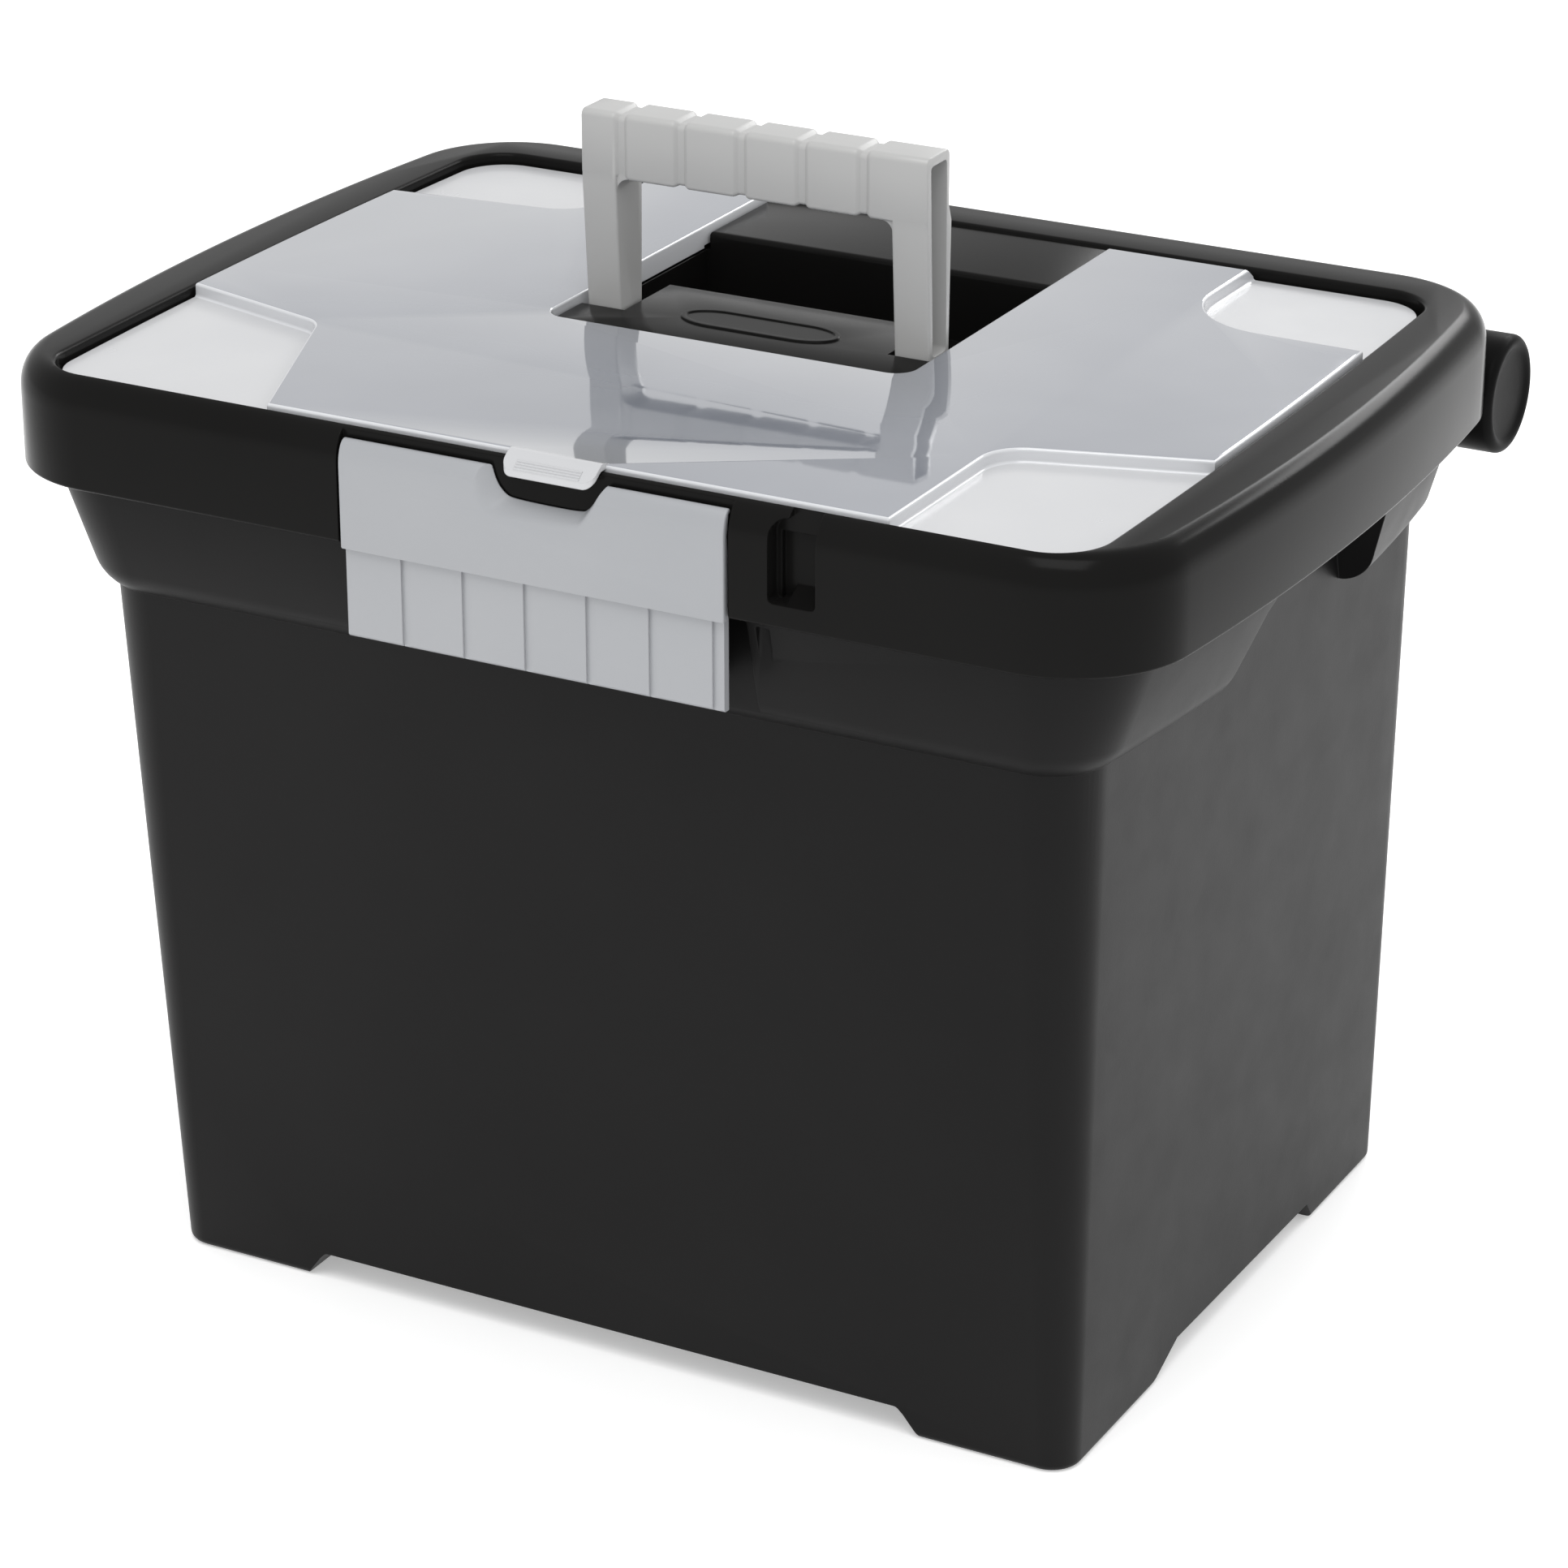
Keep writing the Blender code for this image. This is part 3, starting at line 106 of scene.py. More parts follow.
# ---- cover ---------------------------------------------------------------------
COVER_GAP, COVER_Y1, COVER_T, COVER_BOW = 0.8 * MM, 94.9 * MM, 1.8 * MM, 3 * MM
PAD_Z, RAISED_Z, RIM_DROP_Z = 270.8 * MM, 274.7 * MM, 268.2 * MM
COVER_PIVOT_Y, COVER_PIVOT_Z = 84 * MM, 268.2 * MM
COVER_PIN_R, COVER_BARREL_R = 1.1 * MM, 2.6 * MM
COVER_BARREL_X0, COVER_BARREL_X1, COVER_SWEEP_R = 142 * MM, 149 * MM, 12 * MM
COVER_SLOPE, COVER_SLOPE_FALL = 3.9 * MM, 0.75
COVER_ROUND, COVER_EDGE_R, COVER_RIM_Y1 = 0.9 * MM, 0.7 * MM, 55.5 * MM
PAD_OUT_X, PAD_OUT_Y = 178, 160
TAB_X0, TAB_X1, TAB_R = -6 * MM, 21 * MM, 3 * MM
TAB_ROOT_Y, TAB_RAMP_Y, TAB_BEND_Y, TAB_Y = -131 * MM, -134.2 * MM, -135.9 * MM, -140.8 * MM
TAB_TOP_Z, TAB_END_Z, TAB_T = 275.6 * MM, 271.8 * MM, 1.8 * MM
TAB_RIBS, TAB_RIB_START, TAB_RIB_STEP, TAB_RIB_R, TAB_RIB_END = 4, 0.5, 0.13, 0.3 * MM, 4 * MM
# each pad: end of its inner edge, its inner corner, end of its front or back edge (x, y), corner radius
PADS = (((-78, -140), (-106, -70.3), (-175, -52), 9),
        ((101, -140), (101.3, -74), (175, -52), 12),
        ((99, 110), (98, 41.8), (175, 40.2), 26),
        ((-93, 110), (-93, 51.5), (-175, 42.5), 14))

# ---- handle --------------------------------------------------------------------
HANDLE_HX, LEG_W = 52.7 * MM, 10.6 * MM
HANDLE_Y0, HANDLE_Y1 = -18.1 * MM, -3.1 * MM
GRIP_Z0, GRIP_Z1, GRIP_BACK_Y, GRIP_R, GRIP_LOW_R = 310 * MM, 328.5 * MM, -4.7 * MM, 1.8 * MM, 1 * MM
LEG_FOOT_R, LEG_LOW_Y0, LEG_LOW_Y1, LEG_LOW_Z = 5.9 * MM, -15.8 * MM, -3.9 * MM, 272.6 * MM
LEG_BLEND, LEG_EDGE_R, GUSSET_R = 1.5 * MM, 0.7 * MM, 3.5 * MM
CHANNEL_WALL, CHANNEL_TOP, CHANNEL_R = 2 * MM, 2.6 * MM, 1.2 * MM
PIVOT_Y, PIVOT_Z, HANDLE_PIN_R = -10.4 * MM, 262 * MM, 2.4 * MM
GROOVE_X, GROOVE_PITCH, GROOVE_HALF, GROOVE_D = -3.6 * MM, 18.45 * MM, 2.6 * MM, 0.9 * MM
GROOVE_STEPS, GROOVE_FLATNESS = 8, 1.45

# ---- latch ---------------------------------------------------------------------
LATCH_X, LATCH_HX, LATCH_Y, LATCH_T = 2 * MM, 56.5 * MM, -141 * MM, 2.8 * MM
LATCH_RIB_Y = -139.4 * MM
LATCH_Z0, LATCH_STEP_Z, LATCH_Z1 = 216.8 * MM, 241.4 * MM, 271 * MM
LATCH_TOP_R, LATCH_TOP_REACH, LATCH_NOSE = 7 * MM, 0.6, 0.8 * MM
LATCH_LOW_T, LATCH_LOW_SIDE, LATCH_EDGE, LATCH_END_R = 4 * MM, 0.6 * MM, 0.6 * MM, 0.8 * MM
LATCH_PIVOT_Y, LATCH_PIVOT_Z, LATCH_PIN_R, LATCH_LUG_R = -131 * MM, 222.5 * MM, 1.6 * MM, 4.4 * MM
LUG_HALF, BIN_LUG_X, LATCH_ARM_X = 4 * MM, (-41 * MM, 0, 41 * MM), (-30 * MM, -11 * MM, 11 * MM, 30 * MM)
# finger notch (x, z), down from its left end, along the floor and up to its right end: at the latch's front
# face, then at the back of its walls
SCOOP_FRONT = ((-14.3, 272), (-13.4, 264.5), (-11.6, 260.3), (-8.6, 259),
               (15, 259.3), (17.8, 261), (24.5, 272))
SCOOP_BACK = ((-10.8, 272), (-9.3, 266.5), (-6.8, 263.6), (-4.3, 262.6),
              (15.4, 262.3), (18, 263.4), (24.5, 272))
SCOOP_BACK_Y, SCOOP_WALL, SCOOP_TOP_Z = -136.8 * MM, 2 * MM, 269.8 * MM
# the notch's rounded mouth: distance behind the front face and how far the outline opens (mm)
SCOOP_MOUTH = ((-2, 1.6), (0, 0.7), (0.2, 0.35), (0.6, 0.1), (1, 0))
RIBS, RIB_X, RIB_PITCH, RIB_RAMP, RIB_D = 6, -37.3 * MM, 18.35 * MM, 3.2 * MM, 0.7 * MM
LATCH_BORE_HX, BIN_BORE_HX = 36 * MM, 47 * MM

# ---- clearances ----------------------------------------------------------------
BORE_CLEAR, BARREL_CLEAR, END_CLEAR = 0.35 * MM, 0.8 * MM, 0.6 * MM
BORE_PAST, LUG_EDGE, BARREL_EDGE = 2 * MM, 0.4 * MM, 0.6 * MM

# ---- camera, floor and lamps ---------------------------------------------------
LENS, SENSOR = 118.581, 36
CAMERA_AT, CAMERA_TO = (0.63758, -1.19042, 0.71399), (-0.0015, 0.0032, 0.1312)
CLIP_END = 50
FLOOR_HALF, FLOOR_T, FLOOR_GREY, FLOOR_GLOW = 12.0, 0.02, 0.9, 0.36
WORLD_STRENGTH, LIGHT_AIM = 0.85, (0, 0, 0.15)
# place, width, height and power (W) of the two lamps
KEY_LIGHT = ((0.3, -0.9, 2.0), 1.2, 1.2, 16)
RIM_LIGHT = ((0.3, 1.9, 1.2), 1.6, 0.4, 14)


# ---- mesh tools ----------------------------------------------------------------
def mesh_object(name, verts, faces):
    """A closed mesh object with outward faces."""
    mesh = bpy.data.meshes.new(name)
    mesh.from_pydata([tuple(v) for v in verts], [], faces)
    bm = bmesh.new()
    bm.from_mesh(mesh)
    bmesh.ops.recalc_face_normals(bm, faces=bm.faces)
    bm.to_mesh(mesh)
    bm.free()
    obj = bpy.data.objects.new(name, mesh)
    bpy.context.scene.collection.objects.link(obj)
    return obj


def skin(name, rings):
    """Closed solid through rings of 3-D points, with flat ends."""
    n = len(rings[0])
    verts = [p for ring in rings for p in ring]
    faces = [tuple(range(n)), tuple(range(len(verts) - n, len(verts)))]
    for k in range(len(rings) - 1):
        faces += [(k * n + i, k * n + (i + 1) % n, (k + 1) * n + (i + 1) % n, (k + 1) * n + i)
                  for i in range(n)]
    return mesh_object(name, verts, faces)


def loft(name, rings):
    """Solid through level outlines; rings holds (outline, z)."""
    return skin(name, [[(x, y, z) for x, y in ring] for ring, z in rings])


def prism(name, ring, z0, z1):
    return loft(name, [(ring, z0), (ring, z1)])


def box(name, x0, x1, y0, y1, z0, z1):
    return prism(name, [(x0, y0), (x1, y0), (x1, y1), (x0, y1)], z0, z1)


def slab(name, ring, x0, x1):
    """Prism along X; ring holds (y, z)."""
    return skin(name, [[(x, y, z) for y, z in ring] for x in (x0, x1)])


def wall(name, ring, y0, y1):
    """Prism along Y; ring holds (x, z)."""
    return skin(name, [[(x, y, z) for x, z in ring] for y in (y0, y1)])


def disc(y, z, r, n=ROUND):
    return [(y + r * math.cos(2 * math.pi * i / n), z + r * math.sin(2 * math.pi * i / n))
            for i in range(n)]


def rod(name, x0, x1, y, z, r, edge=0.0):
    """Round bar along X, its ends eased by edge."""
    stations = [(x0, r - edge), (x0 + edge * 0.3, r - edge * 0.3), (x0 + edge, r),
                (x1 - edge, r), (x1 - edge * 0.3, r - edge * 0.3), (x1, r - edge)]
    if edge == 0:
        stations = [(x0, r), (x1, r)]
    return skin(name, [[(x, py, pz) for py, pz in disc(y, z, radius)] for x, radius in stations])


def quarter(steps, first=0):
    """Angles in radians over a quarter turn, from step first to the last."""
    return [math.pi / 2 * i / steps for i in range(first, steps + 1)]


def arc(cx, cy, r, start, end, steps=CURVE):
    """Points on an arc, angles in degrees."""
    angles = [math.radians(start + (end - start) * i / steps) for i in range(steps + 1)]
    return [(cx + r * math.cos(a), cy + r * math.sin(a)) for a in angles]


def smooth(points, rounds=3):
    """Open path with its corners cut round after round; both ends stay put."""
    for _ in range(rounds):
        path = [points[0]]
        for (ax, az), (bx, bz) in zip(points, points[1:]):
            path.append((0.75 * ax + 0.25 * bx, 0.75 * az + 0.25 * bz))
            path.append((0.25 * ax + 0.75 * bx, 0.25 * az + 0.75 * bz))
        points = path + [points[-1]]
    return points


def outline(hx, y0, y1, radius, bow=0.0, steps=14, side=20):
    """Rounded rectangle whose left and right sides bulge by bow; hx is measured at the bulge."""
    half = (y1 - y0) / 2
    mid = (y1 + y0) / 2
    bow = max(bow, 1e-5)
    big = (half * half + bow * bow) / (2 * bow)
    cx0 = hx - big
    cx = cx0 + math.sqrt(max((big - radius) ** 2 - (half - radius) ** 2, 1e-12))
    a = math.atan2(half - radius, cx - cx0)
    right = [(cx0 + big * math.cos(t), big * math.sin(t))
             for t in (-a + 2 * a * i / side for i in range(side + 1))]
    corner = [(cx + radius * math.cos(t), half - radius + radius * math.sin(t))
              for t in (a + (math.pi / 2 - a) * i / steps for i in range(1, steps + 1))]
    lower = [(x, -y) for x, y in reversed(corner)]
    half_ring = lower + right + corner
    ring = half_ring + [(-x, -y) for x, y in half_ring]
    return [(x, y + mid) for x, y in ring]


def soften(obj, width, segments=3, angle=25):
    """Round the edges of a plain solid."""
    bm = bmesh.new()
    bm.from_mesh(obj.data)
    bm.normal_update()
    edges = [e for e in bm.edges if e.calc_face_angle(0) > math.radians(angle)]
    bmesh.ops.bevel(bm, geom=edges, offset=width, segments=segments, profile=0.5,
                    affect="EDGES", clamp_overlap=True)
    bm.to_mesh(obj.data)
    bm.free()
    return obj


def combine(target, others, operation):
    """Boolean the others into target and drop them."""
    for other in others:
        mod = target.modifiers.new("bool", "BOOLEAN")
        mod.operation = operation
        mod.solver = "EXACT"
        mod.object = other
        deps = bpy.context.evaluated_depsgraph_get()
        mesh = bpy.data.meshes.new_from_object(target.evaluated_get(deps))
        target.modifiers.clear()
        target.data = mesh
        bpy.data.objects.remove(other, do_unlink=True)
    return target


def cut(target, *others):
    return combine(target, others, "DIFFERENCE")


def join(target, *others):
    return combine(target, others, "UNION")


def keep(target, *others):
    return combine(target, others, "INTERSECT")


def piece(obj, name, body, node, *mats):
    """Clean and shade a finished piece, give it its materials, tie it to its body and hide the CAD part named
    node.
    """
    obj.name = name
    obj.data.name = name
    bm = bmesh.new()
    bm.from_mesh(obj.data)
    bmesh.ops.remove_doubles(bm, verts=bm.verts, dist=0.00001)
    bmesh.ops.dissolve_degenerate(bm, edges=bm.edges, dist=0.00001)
    bmesh.ops.recalc_face_normals(bm, faces=bm.faces)
    bm.to_mesh(obj.data)
    bm.free()
    obj.data.shade_smooth()
    obj.data.set_sharp_from_angle(angle=math.radians(SHARP_ANGLE))
    obj.data.materials.clear()
    for mat in mats:
        obj.data.materials.append(mat)
    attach(obj, body)
    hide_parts(node)
    return obj


# ---- materials -----------------------------------------------------------------
def link(tree, a, out, b, into):
    tree.links.new(a.outputs[out], b.inputs[into])


def ramp(tree, source, low, high, a, b):
    """Map a texture's range to a value range."""
    node = tree.nodes.new("ShaderNodeMapRange")
    node.inputs["From Min"].default_value = low
    node.inputs["From Max"].default_value = high
    node.inputs["To Min"].default_value = a
    node.inputs["To Max"].default_value = b
    tree.links.new(source, node.inputs["Value"])
    return node.outputs["Result"]


def noise(tree, coords, scale, detail=2.0, roughness=0.5):
    node = tree.nodes.new("ShaderNodeTexNoise")
    node.inputs["Scale"].default_value = scale
    node.inputs["Detail"].default_value = detail
    node.inputs["Roughness"].default_value = roughness
    link(tree, coords, "Object", node, "Vector")
    return node.outputs["Fac"]


def plastic(name, dark, light, rough, spread, grain, depth, edge=0.0, ior=1.5, coat=0.0, alpha=1.0):
    """Moulded plastic: tone and gloss drift slowly over the surface, with a fine moulded grain."""
    mat = bpy.data.materials.new(name)
    mat.use_nodes = True
    tree = mat.node_tree
    shader = tree.nodes["Principled BSDF"]
    coords = tree.nodes.new("ShaderNodeTexCoord")
    drift = noise(tree, coords, 9.0, 3.0, 0.6)
    fine = noise(tree, coords, grain, 3.0, 0.65)
    haze = noise(tree, coords, 60.0, 4.0, 0.6)
    mix = tree.nodes.new("ShaderNodeMix")
    mix.data_type = "RGBA"
    mix.inputs["A"].default_value = (*dark, 1.0)
    mix.inputs["B"].default_value = (*light, 1.0)
    tree.links.new(ramp(tree, drift, 0.3, 0.7, 0.0, 1.0), mix.inputs["Factor"])
    tree.links.new(mix.outputs["Result"], shader.inputs["Base Color"])
    tree.links.new(ramp(tree, haze, 0.25, 0.75, rough - spread, rough + spread), shader.inputs["Roughness"])
    bump = tree.nodes.new("ShaderNodeBump")
    bump.inputs["Strength"].default_value = 1.0
    bump.inputs["Distance"].default_value = depth
    tree.links.new(fine, bump.inputs["Height"])
    if edge:
        bevel = tree.nodes.new("ShaderNodeBevel")
        bevel.samples = 4
        bevel.inputs["Radius"].default_value = edge
        link(tree, bevel, "Normal", bump, "Normal")
    link(tree, bump, "Normal", shader, "Normal")
    shader.inputs["IOR"].default_value = ior
    shader.inputs["Coat Weight"].default_value = coat
    shader.inputs["Coat Roughness"].default_value = 0.05
    shader.inputs["Alpha"].default_value = alpha
    return mat


BLACK_BODY = plastic("black_body", (0.0052, 0.005, 0.0051), (0.0068, 0.0066, 0.0066),
                     0.40, 0.03, 1400, 0.00002, 0.0005, 1.22)
BLACK_LID = plastic("black_lid", (0.0064, 0.0062, 0.006), (0.008, 0.0078, 0.0075),
                    0.19, 0.02, 1100, 0.00001, 0.0005, 1.15)
BLACK_CAP = plastic("black_cap", (0.006, 0.006, 0.006), (0.008, 0.008, 0.008),
                    0.38, 0.03, 1300, 0.00002, 0.0003, 1.10)
GREY_HANDLE = plastic("grey_handle", (0.42, 0.42, 0.416), (0.45, 0.45, 0.445),
                      0.34, 0.03, 1000, 0.00002, 0.0004)
GREY_LATCH = plastic("grey_latch", (0.328, 0.338, 0.356), (0.352, 0.36, 0.376),
                     0.42, 0.04, 1300, 0.000025, 0.0003)
COVER_RAISED = plastic("cover_raised", (0.18, 0.195, 0.228), (0.235, 0.25, 0.284),
                       0.05, 0.012, 420, 0.000004, 0.0003, 2.3, 1.0)
COVER_PAD = plastic("cover_pad", (0.51, 0.515, 0.53), (0.57, 0.575, 0.585),
                    0.24, 0.04, 700, 0.00002, 0.0003, 1.5, 0.2)
# lighter copy of the cover plastic for its walls and steps: a painted highlight standing in for the bright
# line along each step
COVER_WALL_HIGHLIGHT = plastic("cover_wall_painted_highlight", (0.60, 0.61, 0.635), (0.68, 0.69, 0.71),
                     0.16, 0.03, 700, 0.00001, 0.0003, 1.6, 0.6)
STEEL = plastic("pin_steel", (0.42, 0.42, 0.42), (0.5, 0.5, 0.5), 0.3, 0.06, 900, 0.00001)
STEEL.node_tree.nodes["Principled BSDF"].inputs["Metallic"].default_value = 1.0


# ---- bin -----------------------------------------------------------------------
def body_ring(t, inset=0.0):
    hx = FOOT_HX + (BODY_HX - FOOT_HX) * t
    y0 = FOOT_Y0 + (BODY_Y0 - FOOT_Y0) * t
    y1 = FOOT_Y1 + (BODY_Y1 - FOOT_Y1) * t
    r = FOOT_R + (BODY_R - FOOT_R) * t
    return outline(hx - inset, y0 + inset, y1 - inset, max(r - inset, 2 * MM))


def body_at(z, inset=0.0):
    return body_ring(z / BODY_TOP_Z, inset)


def skirt_at(z, inset=0.0):
    t = 1 - 0.85 * (RIM_Z - z) / (RIM_Z - SKIRT_FULL_Z)
    hx = SKIRT_HX0 + (SKIRT_HX1 - SKIRT_HX0) * t - inset
    y0 = SKIRT_Y0 + (SKIRT_Y1 - SKIRT_Y0) * t + inset
    return outline(hx, y0, SKIRT_BACK_Y - inset, (SKIRT_R0 + SKIRT_R_GAIN * t) * MM - inset, SIDE_BOW)


def grip_prism(margin, x0, x1):
    """Side hand grip: trapezoid along Y with rounded upper corners."""
    lip = SKIRT_Z - 8 * MM
    r = GRIP_CORNER_R
    top = GRIP_TOP_Z + margin
    left, right = GRIP_TOP_Y0 - margin, GRIP_TOP_Y1 + margin
    ring = [(GRIP_Y0 - margin, lip), (GRIP_Y1 + margin, lip)]
    ring += [(right + 2.2 * MM, top - r)] + arc(right - r + 1 * MM, top - r, r, 25, 90, 6)
    ring += arc(left + r - 1 * MM, top - r, r, 90, 155, 6) + [(left - 3 * MM, top - r)]
    return slab("grip", ring, x0, x1)


def make_bin():
    foot_r = FOOT_EDGE_R
    rings = [(body_at(foot_r * (1 - math.cos(a)), foot_r * (1 - math.sin(a))), foot_r * (1 - math.cos(a)))
             for a in quarter(6)]
    rings += [(body_at(BODY_TOP_Z * t), BODY_TOP_Z * t) for t in (0.25, 0.5, 0.75, 1.0)]
    rings += [(body_at(BODY_RIM_Z), RIM_Z - 0.4 * MM)]
    bin_obj = loft("bin", rings)
    under = [(SKIRT_Z + SKIRT_UNDER * (1 - math.cos(a)), SKIRT_TUCK * (1 - math.sin(a))) for a in quarter(12)]
    lip = SKIRT_LIP
    skirt = loft("skirt", [(skirt_at(z, inset), z) for z, inset in under]
                 + [(skirt_at(RIM_Z - lip), RIM_Z - lip), (skirt_at(RIM_Z, 0.15 * MM), RIM_Z - lip * 0.3),
                    (skirt_at(RIM_Z, lip), RIM_Z)])
    hollow = loft("hollow", [(skirt_at(z, inset + BIN_WALL), z + BIN_WALL * 0.7) for z, inset in under]
                  + [(skirt_at(RIM_Z + 4 * MM, BIN_WALL), RIM_Z + 4 * MM)])
    for side in (-1, 1):
        x0, x1 = sorted((side * GRIP_CUT_X0, side * GRIP_CUT_X1))
        cut(skirt, grip_prism(0, x0, x1))
        cut(hollow, grip_prism(BIN_WALL, x0, x1))
    left, right = LATCH_X - LATCH_HX - LATCH_GAP_LEFT, LATCH_X + LATCH_HX + LATCH_GAP_RIGHT
    slot = right + SIDE_SLOT_X
    side_slot = box("gap", slot, slot + SIDE_SLOT_W, CUT_FRONT, SIDE_SLOT_Y, SIDE_SLOT_Z0, SIDE_SLOT_Z1)
    cut(skirt, box("gap", left, right, CUT_FRONT, LATCH_GAP_Y, LATCH_GAP_Z0, LATCH_GAP_Z1),
        soften(side_slot, 0.8 * MM))
    cut(hollow, box("gap", left - BIN_WALL, slot + SIDE_SLOT_W + BIN_WALL, CUT_FRONT, LATCH_GAP_INNER_Y,
                    LATCH_GAP_Z0, LATCH_GAP_Z1))
    join(bin_obj, skirt)
    inner = loft("inner", [(body_at(z * MM, BIN_WALL + inset * MM), BIN_FLOOR_Z + rise * MM)
                           for z, inset, rise in FLOOR_EDGE]
                 + [(body_at(BODY_TOP_Z, BIN_WALL), BODY_TOP_Z),
                    (body_at(BODY_RIM_Z, BIN_WALL), RIM_Z + 4 * MM)])
    cut(bin_obj, join(inner, hollow))
    slope, r = ARCH_SLOPE, ARCH_R
    front = [(-ARCH_HX, -1 * MM), (ARCH_HX, -1 * MM), (ARCH_HX - slope + r, ARCH_Z - r)]
    front += arc(ARCH_HX - slope - r * 0.4, ARCH_Z - r, r, 42, 90, 5)
    front += arc(-ARCH_HX + slope + r * 0.4, ARCH_Z - r, r, 90, 138, 5) + [(-ARCH_HX + slope - r, ARCH_Z - r)]
    cut(bin_obj, wall("arch", front, -140 * MM, 140 * MM))
    cut(bin_obj, slab("arch", [(y * MM, z * MM) for y, z in SIDE_ARCH], -160 * MM, 160 * MM))
    rail = BIN_WALL + RAIL_Y
    for y0, y1 in ((BODY_Y0 + RAIL_ROOT, BODY_Y0 + rail), (BODY_Y1 - rail, BODY_Y1 - RAIL_ROOT)):
        join(bin_obj, soften(box("rail", -RAIL_HX, RAIL_HX, y0, y1, RAIL_Z - RAIL_T, RAIL_Z), 0.6 * MM))
    for side in (-1, 1):
        add_bin_hinge(bin_obj, side)
    for x in BIN_LUG_X:
        x0, x1 = LATCH_X + x - LUG_HALF, LATCH_X + x + LUG_HALF
        lug = rod("lug", x0, x1, LATCH_PIVOT_Y, LATCH_PIVOT_Z, LATCH_LUG_R, LUG_EDGE)
        web = box("web", x0, x1, LATCH_PIVOT_Y, BODY_Y0 + 0.2 * MM,
                  LATCH_PIVOT_Z - LATCH_LUG_R, LATCH_PIVOT_Z + LATCH_LUG_R)
        join(bin_obj, join(lug, web))
    cut(bin_obj, rod("bore", LATCH_X - BIN_BORE_HX, LATCH_X + BIN_BORE_HX, LATCH_PIVOT_Y, LATCH_PIVOT_Z,
                     LATCH_PIN_R + BORE_CLEAR))
    return piece(bin_obj, "bin_shell", "base", "base_bin", BLACK_BODY)


def add_bin_hinge(bin_obj, side):
    """Bored lug behind the bin, with clearance for the lid's barrel and the pin's head."""
    x0, x1 = sorted((side * LUG_X0, side * LUG_X1))
    lug = rod("lug", x0, x1, HINGE_Y, HINGE_Z, BARREL_R, BARREL_EDGE)
    web = slab("web", [(BODY_Y1 - 1.2 * MM, 212 * MM), (HINGE_Y + 6.4 * MM, HINGE_Z - 7 * MM),
                       (HINGE_Y + 4 * MM, HINGE_Z), (HINGE_Y - 5 * MM, HINGE_Z + 2 * MM),
                       (BODY_Y1 - 1.2 * MM, HINGE_Z + 2 * MM)], x0 + 0.3 * MM, x1 - 0.3 * MM)
    join(bin_obj, join(lug, web))
    cut(bin_obj, rod("bore", x0 - BORE_PAST, x1 + BORE_PAST, HINGE_Y, HINGE_Z, HINGE_PIN_R + BORE_CLEAR))
    for start, radius in ((BARREL_X0 - 0.5 * MM, BARREL_R), (HEAD_X0 - END_CLEAR, HINGE_HEAD_R)):
        b0, b1 = sorted((side * start, side * (HEAD_X1 + BORE_PAST)))
        cut(bin_obj, rod("clear", b0, b1, HINGE_Y, HINGE_Z, radius + BARREL_CLEAR))


# ---- lid -----------------------------------------------------------------------
def lid_ring(inset=0.0):
    return outline(LID_HX - inset, LID_Y0 + inset, LID_Y1 - inset, LID_R - inset * 0.8, SIDE_BOW, 20, 28)


def seat_ring(inset=0.0, back=None, bow=SEAT_BOW):
    y1 = (SEAT_Y1 - inset) if back is None else back
    return outline(SEAT_HX - inset, SEAT_Y0 + inset, y1, SEAT_R - inset * 0.6, bow)


def notch_ring(inset, y1):
    """Opening round the handle: straight sides running back from two rounded front corners."""
    hx, r, y = TROUGH_HX - inset, NOTCH_R - inset, NOTCH_Y + inset
    ring = [(hx, y1), (-hx, y1)]
    ring += arc(-hx + r, y + r, r, 180, 270)
    ring += arc(hx - r, y + r, r, 270, 360)
    return ring


